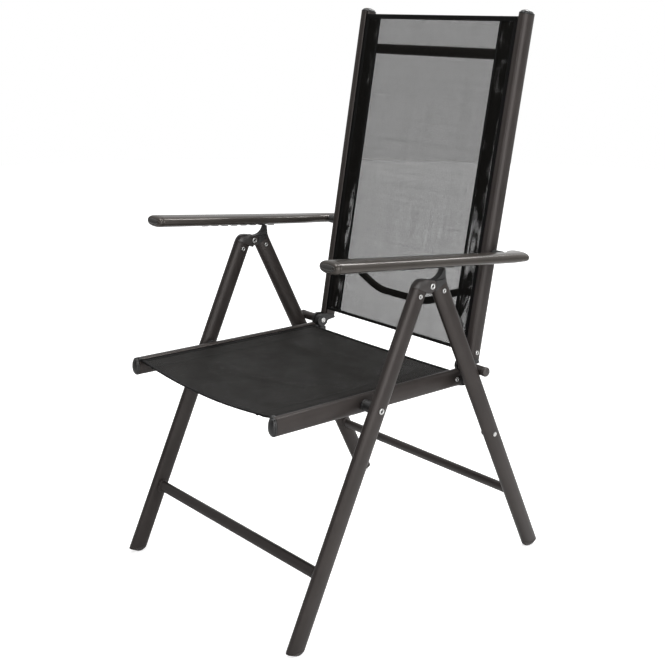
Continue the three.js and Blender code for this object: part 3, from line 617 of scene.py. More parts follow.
class ChairStage(bpy.types.PropertyGroup):
    """Camera and lamps of the studio."""

    azimuth: angle_of("Azimuth", "Camera angle round the chair", 48.43)
    elevation: angle_of("Elevation", "Camera angle above the floor", 16.55)
    roll: angle_of("Roll", "Camera roll", 0.42)
    distance: length("Distance", "Camera distance from the chair's middle", 2.165, 0.5, 20.0)
    lens: factor("Lens", "Focal length on a 36 mm wide sensor, in millimetres", 59.77, 10.0, 300.0)
    ambient: factor("Ambient", "Level of the even light from all round", 0.3, 0.0, 2.0)
    lamps: factor("Lamps", "Level of all the lamps together", 1.0, 0.0, 4.0)


class CHAIR_OT_finishes(bpy.types.Operator):
    """Makes the powder coats, plastics, zinc plate and woven cloths"""

    bl_idname = "patio_chair.finishes"
    bl_label = "Finishes"

    def execute(self, context):
        sizes = context.scene.chair_sizes
        tints = context.scene.chair_colours
        coat, arms, plastic, zinc, seat, back, pocket = (
            tuple(getattr(tints, key)) for key in ChairColours.__annotations__
        )
        # Metallic, roughness, grain for each metre, spread of the gloss, strength of the grain.
        powder_coat("frame coat", coat, 0.3, 0.34, 1100.0, 0.05, 0.12)
        powder_coat("arm coat", arms, 0.35, 0.18, 1500.0, 0.03, 0.05)
        # Roughness, grain for each metre, strength of the grain.
        moulded("black plastic", plastic, 0.46, 1500.0, 0.25)
        moulded("knuckle plastic", toned(coat, 0.62), 0.4, 1300.0, 0.2)
        moulded("cap plastic", plastic, 0.38, 1500.0, 0.08)
        moulded("arm cap plastic", toned(arms, 0.36), 0.26, 1500.0, 0.06)
        moulded("foot plastic", toned(coat, 0.8), 0.5, 1100.0, 0.3)
        # Painted shade: a near-black finish for the dish that fills the hollow of each tubular
        # rivet.
        moulded("rivet core", toned(plastic, 0.5), 0.7, 900.0, 0.3)
        moulded("thread", toned(pocket, 1.7), 0.6, 2600.0, 0.5)
        plated("zinc plate", zinc, 0.26)
        # Pitch, share of it that a yarn covers, roughness, gloss.
        pitch = sizes.back_pitch
        woven("seat cloth", seat, sizes.seat_pitch, sizes.seat_cover, 0.5, 0.1, creases=0.12)
        woven("back cloth", back, pitch, sizes.back_cover, 0.5, 0.05, foot_cover=0.044)
        woven("pocket cloth", pocket, pitch, 0.96, 0.42, 0.08, creases=0.3)
        woven("flap cloth", pocket, pitch, 0.705, 0.45, 0.1, creases=0.1, gather=0.25)
        return {"FINISHED"}


class CHAIR_OT_stage(bpy.types.Operator):
    """Sets up the pale floor, the soft lamps, the white surround and the camera"""

    bl_idname = "patio_chair.stage"
    bl_label = "Studio"

    def execute(self, context):
        stage = context.scene.chair_stage
        self.camera(context, stage)
        self.floor()
        self.surround(context, stage)
        for name, spot, aim, wide, tall, power in LAMPS:
            self.lamp(name, spot, aim, wide, tall, power * stage.lamps)
        context.scene.view_settings.view_transform = "Standard"
        return {"FINISHED"}

    def camera(self, context, stage):
        azimuth, elevation, roll = stage.azimuth, stage.elevation, stage.roll
        back = Vector((
            math.sin(azimuth) * math.cos(elevation),
            -math.cos(azimuth) * math.cos(elevation),
            math.sin(elevation),
        ))
        level = Vector((math.cos(azimuth), math.sin(azimuth), 0.0))
        right = level * math.cos(roll) + back.cross(level) * math.sin(roll)
        data = bpy.data.cameras.new("camera")
        data.sensor_width = 36.0
        data.lens = stage.lens
        data.clip_end = 50.0
        camera = new_object("camera", data)
        turn = Matrix((right, back.cross(right), back)).transposed().to_4x4()
        camera.matrix_world = Matrix.Translation(Vector(LOOK_AT) + back * stage.distance) @ turn
        context.scene.camera = camera

    def floor(self):
        count, radii = 96, (6.0, 3.0, 1.4, 0.6, 0.02)
        form = loft([
            [(radius * math.cos(t), radius * math.sin(t), 0.0) for t in turns(count)]
            for radius in radii
        ], capped=False)
        last = (len(radii) - 1) * count
        form.faces.append(tuple(range(last, last + count)))
        mesh = new_mesh("studio_floor", form.points, form.faces, outwards=False)
        mesh.shade_smooth()
        tree, surface = new_finish("studio floor")
        where = on_object(tree)
        dust = clouds(tree, where, 3.0, 3.0)
        seen = knot(tree, "ShaderNodeLightPath").outputs["Is Camera Ray"]
        reach = vectors(tree, "LENGTH", where)["Value"]
        fading = levels(tree, reach, 0.7, 2.2, 0.62, 0.9)
        fill(tree, surface, {
            "Base Color": shades(tree, dust, [(0.3, (0.84,) * 3), (0.7, (0.87,) * 3)]),
            "Roughness": 0.9,
            "Specular IOR Level": 0.1,
            "Emission Color": (1.0, 1.0, 1.0, 1.0),
            "Emission Strength": sums(tree, "MULTIPLY", seen, fading),
        })
        mesh.materials.append(bpy.data.materials["studio floor"])
        made = new_object("studio_floor", mesh)

    def surround(self, context, stage):
        """White to the camera; the chair mirrors a white backdrop, a dim room and a dark flag."""
        world = bpy.data.worlds.new("white surround")
        world.use_nodes = True
        tree = world.node_tree
        tree.nodes.clear()
        path = knot(tree, "ShaderNodeLightPath").outputs
        seen = sums(tree, "MAXIMUM", path["Is Camera Ray"], path["Is Glossy Ray"])
        seen = sums(tree, "MAXIMUM", seen, path["Is Transmission Ray"])
        ahead = knot(tree, "ShaderNodeTexCoord").outputs["Generated"]
        backdrop = self.toward(tree, ahead, (-0.75, 0.66, 0.15), -0.65, 0.5, 0.12, 1.0)
        flag = self.toward(tree, ahead, (-0.95, 0.05, -0.2), 0.62, 0.92, 1.0, 0.25)
        mirrored = sums(tree, "MULTIPLY", backdrop, flag)
        mirrored = sums(tree, "MAXIMUM", mirrored, path["Is Camera Ray"])
        level = knot(tree, "ShaderNodeMix", {0: seen, 2: stage.ambient, 3: mirrored}).outputs[0]
        white = {"Color": (1.0, 1.0, 1.0, 1.0), "Strength": level}
        light = knot(tree, "ShaderNodeBackground", white)
        knot(tree, "ShaderNodeOutputWorld", {"Surface": light.outputs[0]})
        context.scene.world = world

    def toward(self, tree, ahead, way, low, high, to_low, to_high):
        """Level that goes over smoothly as a direction comes to point one way."""
        along = vectors(tree, "DOT_PRODUCT", ahead, way)["Value"]
        return levels(
            tree, along, low, high, to_low, to_high, interpolation_type="SMOOTHSTEP",
        )

    def lamp(self, name, spot, aim, wide, tall, power):
        data = bpy.data.lights.new(name, "AREA")
        data.shape = "RECTANGLE"
        data.size = wide
        data.size_y = tall
        data.energy = power
        turn = (Vector(aim) - Vector(spot)).normalized().to_track_quat("-Z", "Y")
        lamp = new_object(name, data)
        lamp.matrix_world = Matrix.Translation(spot) @ turn.to_matrix().to_4x4()


def level_depth(lean, height, y):
    """Depth in a leaning leg's frame at which its point reaches a height above the floor."""
    angle = math.radians(lean)
    return (height - APEX_HEIGHT - y * math.sin(angle)) / math.cos(angle)


def leg_form(lean, offset, sides):
    """Leg cut level at its foot and square at its top, both edges slightly broken."""
    edge = ((0.0, 0.7), (0.3, 0.25), (1.0, 0.0))
    foot, top = [], []
    for step, inset in edge:
        ring = oval(LEG_WIDE, LEG_DEEP, LEG_X, offset, sides, inset=inset)
        foot.append([(x, y, level_depth(lean, FOOT_HEIGHT + step, y)) for x, y in ring])
        top.append([(x, y, -LEG_TOP - step) for x, y in ring])
    return loft(foot + top[::-1])


def foot_form(lean, offset, sides):
    """Press-in foot: a level tread towards the chair's middle, rolled up towards the outside."""
    full, rolled = 10.7, 10.3
    rings = []
    for height, inset in (
        (0.0, 8.0), (0.2, 6.6), (0.7, 5.0), (1.6, 3.4), (2.9, 2.0), (4.6, 0.9), (6.6, 0.2),
        (8.4, 0.0), (9.6, 0.0), (10.3, 0.2), (full, 0.8),
    ):
        ring = []
        for x, y in oval(LEG_WIDE, LEG_DEEP, LEG_X, offset, sides, inset=inset):
            outward = 0.5 + (y - offset) * math.copysign(1.0, lean) / LEG_DEEP
            roll = rolled * smooth(0.25, 1.15, outward) * (1.0 - height / full)
            ring.append((x, y, level_depth(lean, height + roll, y)))
        rings.append(ring)
    return loft(rings)


class CHAIR_OT_legs(bpy.types.Operator):
    """Makes the four legs with their feet and the two crossbars"""

    bl_idname = "patio_chair.legs"
    bl_label = "Legs"

    def execute(self, context):
        sides = context.scene.chair_sizes.tube_sides
        for pair, place, lean, offset in (
            ("front", FRONT, FRONT_LEAN, -LEG_OFFSET), ("rear", REAR, REAR_LEAN, LEG_OFFSET),
        ):
            leg = leg_form(lean, offset, sides)
            foot = foot_form(lean, offset, sides)
            for word, side in SIDES:
                stand_in(f"{pair}_leg_{word}", [leg], place, "frame coat", side)
                stand_in(f"{pair}_foot_{word}", [foot], place, "foot plastic", side)
            bar = self.crossbar(offset, sides)
            stand_in(f"{pair}_crossbar", bar, place, "frame coat", angle=50.0)
        return {"FINISHED"}

    def crossbar(self, offset, sides):
        """Oval bar with a small rippled weld at each leg."""
        section = oval(CROSSBAR_TALL, CROSSBAR_DEEP, sides=sides)
        forms = [loft([
            [(x, offset + b, CROSSBAR_DROP + a) for a, b in section]
            for x in evenly(-CROSSBAR_REACH, CROSSBAR_REACH, 12)
        ])]
        weld = ((0.0, 2.6), (0.7, 2.9), (1.6, 2.2), (2.6, 1.0), (3.4, 0.3), (3.8, -0.3))
        ripples = 14
        for side in (1, -1):
            rings = []
            for along, swell in weld:
                ring = []
                for turn, (a, b) in zip(turns(sides), section):
                    ripple = 1.0 + 0.16 * math.sin(turn * ripples)
                    grow = 1.0 + 2.0 * swell * ripple / CROSSBAR_TALL
                    x = side * (CROSSBAR_REACH - along)
                    ring.append((x, offset + b * grow, CROSSBAR_DROP + a * grow))
                rings.append(ring)
            forms.append(loft(rings))
        return forms


class CHAIR_OT_knuckles(bpy.types.Operator):
    """Makes the knuckles and horns at the apex, the hinge blocks, lugs, racks and links"""

    bl_idname = "patio_chair.knuckles"
    bl_label = "Knuckles and links"

    def execute(self, context):
        edge = context.scene.chair_sizes.edge * PER_METRE
        spacer = turned([
            (222.4, 9.8), (222.6, 10.6), (223.2, 11.0), (227.0, 11.0), (227.5, 10.5),
            (239.5, 10.5), (240.0, 11.0), (243.8, 11.0), (244.4, 10.6), (244.6, 9.8),
        ], sides=56)
        for word, side in SIDES:
            polished(f"front_knuckle_{word}", "knuckle plastic", edge)
            for node in ("horn_knuckle", "seat_hinge_block", "back_lug", "armrest_rack"):
                polished(f"{node}_{word}", "black plastic", edge)
            polished(f"rear_link_{word}", "frame coat", edge)
            stand_in(f"seat_pivot_spacer_{word}", [spacer], SEAT, "black plastic", side)
        return {"FINISHED"}


def channel_section(sides):
    """Side tube's section, open at the slot and bore of the sling's edge, cloth side to +Y."""
    ring = []
    opened = False
    for x, y in oval(RAIL_WIDE, RAIL_TALL, sides=sides):
        if x < 0.0 and abs(y - CHANNEL_RISE) < CHANNEL_SLOT + 0.7:
            ring += [] if opened else slot_path()
            opened = True
        else:
            ring.append((x, y))
    return ring


def oval_edge(y):
    """Inner edge of the side tube's section at a height."""
    return -oval_reach(RAIL_WIDE / 2.0, abs(2.0 * y / RAIL_TALL))


def slot_path():
    """Way in through the slot, round the bore and out again."""
    top, foot = CHANNEL_RISE + CHANNEL_SLOT, CHANNEL_RISE - CHANNEL_SLOT
    upper, lower = oval_edge(top + 0.6), oval_edge(foot - 0.6)
    mouth = -CHANNEL_IN - math.sqrt(CHANNEL_BORE ** 2 - CHANNEL_SLOT ** 2)
    start = math.pi - math.asin(CHANNEL_SLOT / CHANNEL_BORE)
    bore = [
        (-CHANNEL_IN + CHANNEL_BORE * math.cos(turn), CHANNEL_RISE + CHANNEL_BORE * math.sin(turn))
        for turn in evenly(start, -start, 20)[1:-1]
    ]
    return [
        (upper, top + 0.6), (upper + 0.15, top + 0.15), (upper + 0.6, top), (mouth, top), *bore,
        (mouth, foot), (lower + 0.6, foot), (lower + 0.1, foot - 0.15), (lower, foot - 0.6),
    ]


def on_rail(x, y, z):
    return (RAIL_X + x, RAIL_REAR - z, y)


def on_back(x, y, z):
    return (RAIL_X + x, BACK_SETBACK - y, BACK_TOP - z)


def side_tube(long, lay, sides):
    section = channel_section(sides)
    return loft([[lay(x, y, z) for x, y in section] for z in evenly(0.0, long, 8)])


def cap_form(start, ahead, lay, sides):
    """Press-in cap: a flush rim, a fine groove and a shallow dome."""
    rim = ((0.3, 0.9), (0.5, 0.25), (1.0, 0.0), (2.3, 0.0), (2.9, 0.35), (3.1, 1.0), (2.9, 1.5))
    foot, rise, rim_inset = 3.2, 8.6, 1.8
    domes, tip = 9, 8.2
    rings = []
    for along, inset in rim:
        ring = oval(RAIL_WIDE, RAIL_TALL, sides=sides, inset=inset)
        rings.append([lay(x, y, start + ahead * along) for x, y in ring])
    wide, tall = RAIL_WIDE - 2.0 * rim_inset, RAIL_TALL - 2.0 * rim_inset
    for i in range(domes):
        share = i / tip
        shrink = math.sqrt(1.0 - share * share)
        ring = oval(wide * shrink, tall * shrink, sides=sides, power=OVAL_POWER - 0.3 * share)
        along = foot + (rise - foot) * share
        rings.append([lay(x, y, start + ahead * along) for x, y in ring])
    return loft(rings)


class CHAIR_OT_seat_frame(bpy.types.Operator):
    """Makes the seat rails with their channels, the front caps and the two spreaders"""

    bl_idname = "patio_chair.seat_frame"
    bl_label = "Seat frame"

    def execute(self, context):
        sides = context.scene.chair_sizes.tube_sides
        long = RAIL_REAR + RAIL_FRONT
        rail = side_tube(long, on_rail, sides)
        caps = [cap_form(long, 1.0, on_rail, sides), self.bead_stop(long)]
        for word, side in SIDES:
            stand_in(f"seat_rail_{word}", [rail], SEAT, "frame coat", side)
            stand_in(f"seat_front_cap_{word}", caps, SEAT, "cap plastic", side)
        for place, along in SPREADERS:
            path = [
                (x, along, SPREADER_RISE - SPREADER_BOW * (1.0 - (x / BAR_REACH) ** 2))
                for x in evenly(-BAR_REACH, BAR_REACH, 40)
            ]
            bar = swept(path, 14.0, 14.0, 40)
            stand_in(f"seat_spreader_{place}", [bar], SEAT, "frame coat")
        return {"FINISHED"}

    def bead_stop(self, long):
        """Small moulded tab that closes the channel in front of the sling."""
        rings, squarish = [], 3.6
        for along, inset in ((-7.0, 0.6), (-6.4, 0.0), (-0.4, 0.0), (0.2, 0.5)):
            ring = oval(7.6, 6.4, -5.4, 14.4, 28, squarish, inset)
            rings.append([on_rail(x, y, long + along) for x, y in ring])
        return loft(rings)


class CHAIR_OT_back_frame(bpy.types.Operator):
    """Makes the back tubes with their channels, the top caps, the headrest and the lumbar bow"""

    bl_idname = "patio_chair.back_frame"
    bl_label = "Back frame"

    def execute(self, context):
        sides = context.scene.chair_sizes.tube_sides
        tube = side_tube(BACK_TOP - BACK_FOOT, on_back, sides)
        cap = cap_form(0.0, -1.0, on_back, sides)
        for word, side in SIDES:
            stand_in(f"back_tube_{word}", [tube], BACK, "frame coat", side)
            stand_in(f"back_cap_{word}", [cap], BACK, "cap plastic", side)
        straight = evenly(-BAR_REACH, BAR_REACH, 16)
        level = [(x, BACK_SETBACK + 2.0, HEADREST_HEIGHT) for x in straight]
        bowed = []
        for x in evenly(-BAR_REACH, BAR_REACH, 80):
            share = smooth(-182.0, -48.0, -abs(x))
            bowed.append((x, BACK_SETBACK + 4.0 * share, LUMBAR_HEIGHT - LUMBAR_DIP * share))
        stand_in("headrest_bar", [swept(level, 14.0, 20.0, sides)], BACK, "frame coat")
        stand_in("lumbar_bow_bar", [swept(bowed, 13.0, 15.0)], BACK, "frame coat")
        return {"FINISHED"}


def plan_at(share, column):
    """Armrest plan at a share of its length, as one smooth curve through the table."""
    last = len(ARM_PLAN) - 1
    k = max(i for i in range(last) if ARM_PLAN[i][0] <= share)
    before, here, there, after = (ARM_PLAN[max(0, min(last, k + j))] for j in (-1, 0, 1, 2))
    wide = there[0] - here[0]
    slope_here = (there[column] - before[column]) / (there[0] - before[0]) * wide
    slope_there = (after[column] - here[column]) / (after[0] - here[0]) * wide
    t = (share - here[0]) / wide
    return (
        (2 * t ** 3 - 3 * t ** 2 + 1) * here[column] + (t ** 3 - 2 * t ** 2 + t) * slope_here
        + (3 * t ** 2 - 2 * t ** 3) * there[column] + (t ** 3 - t ** 2) * slope_there
    )


def arm_ring(ahead, inset, sides, moved=0.0):
    """Ring of the armrest at a place along it, moved ahead after it is drawn."""
    share = min(1.0, max(0.0, (ARM_FRONT - ahead) / (ARM_FRONT + ARM_REAR)))
    wide = ARM_WIDE * (1.0 - plan_at(share, 1))
    tall = ARM_TALL * plan_at(share, 2)
    ring = oval(wide, tall, ARM_OUTSIDE - wide / 2.0, 0.0, sides, ARM_POWER, inset)
    return [(x, -ahead - moved, z) for x, z in ring]


class CHAIR_OT_armrests(bpy.types.Operator):
    """Makes the armrests with the groove for their racks, the front caps and the pivot bolts"""

    bl_idname = "patio_chair.armrests"
    bl_label = "Armrests"

    def execute(self, context):
        sides = context.scene.chair_sizes.tube_sides
        arm = self.arm(sides)
        cap = self.cap(sides)
        bolt = turned([
            (198.3, 4.6), (198.5, 5.6), (199.0, 6.0), (199.7, 6.0), (199.7, 4.0), (222.4, 4.0),
            (222.4, 7.9), (223.0, 8.5), (231.0, 8.5), (231.5, 8.0), (235.0, 8.0), (235.5, 8.5),
            (243.6, 8.5), (244.3, 7.9), (244.3, 4.0), (260.0, 4.0),
        ], sides=48)
        for word, side in SIDES:
            self.grooved(f"armrest_{word}", arm, side)
            coats = ["arm coat", "arm cap plastic"]
            stand_in(f"armrest_front_cap_{word}", cap, ARM, coats, side, angle=50.0)
            stand_in(f"arm_pivot_bolt_{word}", [bolt], ARM, "black plastic", side)
        return {"FINISHED"}

    def arm(self, sides):
        """Arm from its domed rear end to the broken edge at its front."""
        base = arm_ring(-ARM_REAR, 0.0, sides)
        middle = sum(point[0] for point in base) / len(base)
        rings = []
        for share in (0.97, 0.9, 0.78, 0.6, 0.4, 0.2):
            shrink = math.sqrt(1.0 - share * share)
            rings.append([
                (middle + (x - middle) * shrink, y + 7.0 * share, z * shrink) for x, y, z in base
            ])
        rings += [arm_ring(ahead, 0.0, sides) for ahead in evenly(-ARM_REAR, ARM_FRONT - 0.9, 110)]
        rings += [arm_ring(ARM_FRONT - 0.3, 0.2, sides), arm_ring(ARM_FRONT, 0.7, sides)]
        return loft(rings)

    def cap(self, sides):
        """Rounded rim and the face that is pressed into it."""
        rim = (
            (0.3, 0.8), (0.6, 0.2), (1.2, 0.0), (3.0, 0.1), (5.0, 0.6), (6.8, 1.5), (8.2, 2.8),
            (9.0, 4.2), (9.1, 4.9),
        )
        face = ((8.2, 5.0), (8.8, 5.1), (9.6, 5.7), (10.4, 6.9), (10.8, 8.3), (11.0, 9.4))
        return [
            loft([arm_ring(ARM_FRONT, inset, sides, moved) for moved, inset in steps], mark)
            for mark, steps in enumerate((rim, face))
        ]

    def grooved(self, node, arm, side):
        """Cuts the rack's groove into the underside."""
        inner, outer, below, roof = 246.2, 263.8, -22.0, -5.5
        corners = [
            [(inner, y, below), (outer, y, below), (outer, y, roof), (inner, y, roof)]
            for y in (RACK_FRONT - RACK_PLAY, RACK_REAR + RACK_PLAY)
        ]
        body, cutter = (
            new_object(name, new_mesh(name, in_chair(ARM, side, form.points), form.faces))
            for name, form in (("arm blank", arm), ("groove cutter", loft(corners)))
        )
        step = body.modifiers.new("groove", "BOOLEAN")
        step.operation = "DIFFERENCE"
        step.solver = "EXACT"
        step.object = cutter
        mesh = evaluated(body)
        mesh.name = f"{node}_form"
        mesh.materials.clear()
        for blank in (body, cutter):
            bpy.data.objects.remove(blank)
        mesh.polygons.foreach_set("material_index", [0] * len(mesh.polygons))
        if len(mesh.polygons) < len(arm.faces) // 2:
            raise RuntimeError(f"{node} lost its faces at the groove")
        finished(f"{node}_form", mesh, ["arm coat"], [node])


def evaluated(holder):
    """Plain mesh of an object after its modifiers."""
    bpy.context.view_layer.update()
    graph = bpy.context.evaluated_depsgraph_get()
    return bpy.data.meshes.new_from_object(holder.evaluated_get(graph))


def new_tree(name, takes, gives):
    """Geometry tree with its inputs, as (name, kind) pairs, and one output of geometry."""
    tree = bpy.data.node_groups.new(name, "GeometryNodeTree")
    for title, kind in takes:
        tree.interface.new_socket(title, in_out="INPUT", socket_type=f"NodeSocket{kind}")
    tree.interface.new_socket(gives, in_out="OUTPUT", socket_type="NodeSocketGeometry")
    return tree, knot(tree, "NodeGroupInput").outputs


def joined(tree, *parts):
    made = knot(tree, "GeometryNodeJoinGeometry")
    for part in parts:
        tree.links.new(part, made.inputs[0])
    return made.outputs[0]


def aligned(tree, way):
    return knot(tree, "FunctionNodeAlignEulerToVector", {"Vector": way}, axis="Z").outputs[0]


def attribute(tree, name):
    made = knot(
        tree, "GeometryNodeInputNamedAttribute", {"Name": name}, data_type="FLOAT_VECTOR",
    )
    return made.outputs[0]


def set_at(tree, points, instance, turn, size):
    values = {"Points": points, "Instance": instance, "Rotation": turn, "Scale": size}
    return knot(tree, "GeometryNodeInstanceOnPoints", values).outputs[0]


def heads_tree():
    """Geometry nodes: a rolled ring with a dark dish of painted shade in its hollow, and half a
    shank at every point.
    """
    tree, given = new_tree(
        "rivet heads", (("Spots", "Geometry"), ("Plate", "Material"), ("Recess", "Material")),
        "Heads",
    )
    ring, roll = (
        knot(tree, "GeometryNodeCurvePrimitiveCircle", {"Resolution": sides, "Radius": radius})
        for sides, radius in ((32, RING_SHARE), (10, ROLL_SHARE))
    )
    rolled = knot(
        tree, "GeometryNodeCurveToMesh",
        {"Curve": ring.outputs["Curve"], "Profile Curve": roll.outputs["Curve"]},
    )
    # The dish is painted shade: a dark disc that stands for the shade inside the rivet's hollow.
    shade_dish, pin = (
        knot(
            tree, "GeometryNodeMeshCylinder", {"Vertices": sides, "Radius": radius, "Depth": deep},
        ).outputs["Mesh"]
        for sides, radius, deep in ((32, SHADE_DISH_SHARE, 0.16), (20, 0.55, 1.0))
    )
    dark = knot(tree, "GeometryNodeSetMaterial", {"Geometry": shade_dish, "Material": given["Recess"]})
    head = joined(tree, rolled.outputs["Mesh"], dark.outputs["Geometry"])
    sunk = knot(
        tree, "GeometryNodeTransform", {"Geometry": pin, "Translation": (0.0, 0.0, -0.5)},
    ).outputs[0]
    turn = aligned(tree, attribute(tree, "facing"))
    heads = set_at(tree, given["Spots"], head, turn, attribute(tree, "size"))
    shanks = set_at(tree, given["Spots"], sunk, turn, attribute(tree, "shank"))
    real = knot(tree, "GeometryNodeRealizeInstances", {0: joined(tree, heads, shanks)})
    is_shade_disc = knot(tree, "GeometryNodeMaterialSelection", {"Material": given["Recess"]})
    bright = knot(tree, "FunctionNodeBooleanMath", {0: is_shade_disc.outputs[0]}, operation="NOT")
    plate = {
        "Geometry": real.outputs[0], "Selection": bright.outputs[0], "Material": given["Plate"],
    }
    knot(tree, "NodeGroupOutput", {0: knot(tree, "GeometryNodeSetMaterial", plate).outputs[0]})
    return tree


def run_tree(tree, name, points, edges, inputs, layers=()):
    """Mesh that a geometry tree gives for points and edges, with their vector attributes."""
    mesh = bpy.data.meshes.new(name)
    mesh.from_pydata(points, edges, [])
    for key, values in layers:
        layer = mesh.attributes.new(key, "FLOAT_VECTOR", "POINT")
        layer.data.foreach_set("vector", [part for value in values for part in value])
    holder = new_object(name, mesh)
    modifier = holder.modifiers.new(tree.name, "NODES")
    modifier.node_group = tree
    for item in tree.interface.items_tree:
        if item.in_out == "INPUT" and item.name in inputs:
            modifier[item.identifier] = inputs[item.name]
    made = evaluated(holder)
    holder.modifiers.remove(modifier)
    bpy.data.objects.remove(holder)
    if not made.polygons:
        raise RuntimeError(f"{tree.name} gave no faces")
    made.name = name
    return made


LEG_PIN, RAIL_PIN, SEAT_PIN = (245.0, 265.0), (200.0, 222.0), (200.0, 265.0)
# Piece, body, and for each of its pins: node, frame, Y, Z, ends, radius of head and of shank.
PINS = (
    ("front_frame_pins", "front_frame", (
        ("apex_pin", FRONT, 0.0, 0.0, LEG_PIN, 6.0, 4.0),
        ("front_knuckle_rivet", FRONT, -LEG_OFFSET, KNUCKLE_RIVET_DROP, LEG_PIN, 4.6, 2.8),
        ("seat_pivot_bolt", FRONT, -LEG_OFFSET, SEAT_PIVOT_DROP, SEAT_PIN, 6.0, 4.5),
    )),
    ("rear_leg_rivets", "rear_legs", (
        ("rear_knuckle_rivet", REAR, LEG_OFFSET, KNUCKLE_RIVET_DROP, LEG_PIN, 4.6, 2.8),
    )),
    ("rail_rivets", "seat", (("rail_rivet", SEAT, 240.9, 0.0, RAIL_PIN, 4.6, 2.8),)),
    ("back_lug_rivets", "back", (
        ("back_lug_rivet", BACK, BACK_SETBACK, 26.0, RAIL_PIN, 4.6, 2.8),
    )),
)


class CHAIR_OT_fasteners(bpy.types.Operator):
    """Sets the rivets and tubular pins, the link rivets and the stop rods"""

    bl_idname = "patio_chair.fasteners"
    bl_label = "Rivets, pins and rods"

    def execute(self, context):
        tree = heads_tree()
        for name, body, pins in PINS:
            self.pins(tree, name, body, pins)
        rivet = turned([
            (242.5, 5.7), (242.8, 6.2), (244.2, 6.2), (244.6, 5.7), (244.6, 2.8), (265.3, 2.8),
            (265.3, 4.4), (265.8, 4.7), (266.4, 4.2), (266.7, 2.9), (266.5, 1.5), (265.9, 1.2),
        ], LEG_OFFSET, LINK_RIVET_DROP)
        rod = turned([
            (222.4, 8.4), (222.9, 9.0), (262.4, 9.0), (262.6, 8.7), (263.0, 8.7), (263.0, 3.0),
        ], sides=48)
        button = turned([
            (263.1, 8.6), (263.3, 9.2), (264.0, 9.4), (268.2, 9.4), (269.4, 9.0), (270.6, 7.8),
            (271.4, 5.8), (271.9, 3.4), (272.0, 1.0),
        ], sides=48, mark=1)
        head = turned([
            (199.7, 4.2), (199.7, 5.2), (199.3, 5.4), (198.7, 5.3), (198.3, 4.6), (198.5, 3.2),
            (199.2, 2.7),
        ], mark=2)
        forms = [rod, button, head, turned([(199.3, 4.4), (226.0, 4.4)], mark=2)]
        coats = ["frame coat", "foot plastic", "zinc plate"]
        for word, side in SIDES:
            stand_in(f"link_rivet_{word}", [rivet], REAR, "zinc plate", side)
            stand_in(f"stop_rod_{word}", forms, BACK, coats, side)
        return {"FINISHED"}

    def pins(self, tree, name, body, pins):
        """One piece with both heads and the shank of every pin, on both sides of the chair."""
        spots, facing, sizes, shanks, nodes = [], [], [], [], []
        for node, place, y, z, (inner, outer), head, shank in pins:
            nodes += [f"{node}_right", f"{node}_left"]
            half = (outer - inner) / 2.0
            for side in (1, -1):
                for x, out in ((inner - 0.5, -side), (outer + 0.5, side)):
                    spots += in_chair(place, side, [(x, y, z)])
                    facing.append((out, 0.0, 0.0))
                    sizes.append((head * MM,) * 3)
                    shanks.append((shank * 1.8 * MM, shank * 1.8 * MM, (half + 0.4) * MM))
        # The dish gets the dark finish of painted shade, everything else the zinc plate.
        inputs = {key: bpy.data.materials[finish] for key, finish in (
            ("Plate", "zinc plate"), ("Recess", "rivet core"),
        )}
        layers = (("facing", facing), ("size", sizes), ("shank", shanks))
        made = run_tree(tree, name, spots, [], inputs, layers)
        finished(name, made, [], nodes, body=body, angle=50.0)


def both_faces(steps):
    """Outline of a band from (step, half its thickness) pairs: up one face and back the other."""
    return [*steps, *((step, -half) for step, half in reversed(steps))]


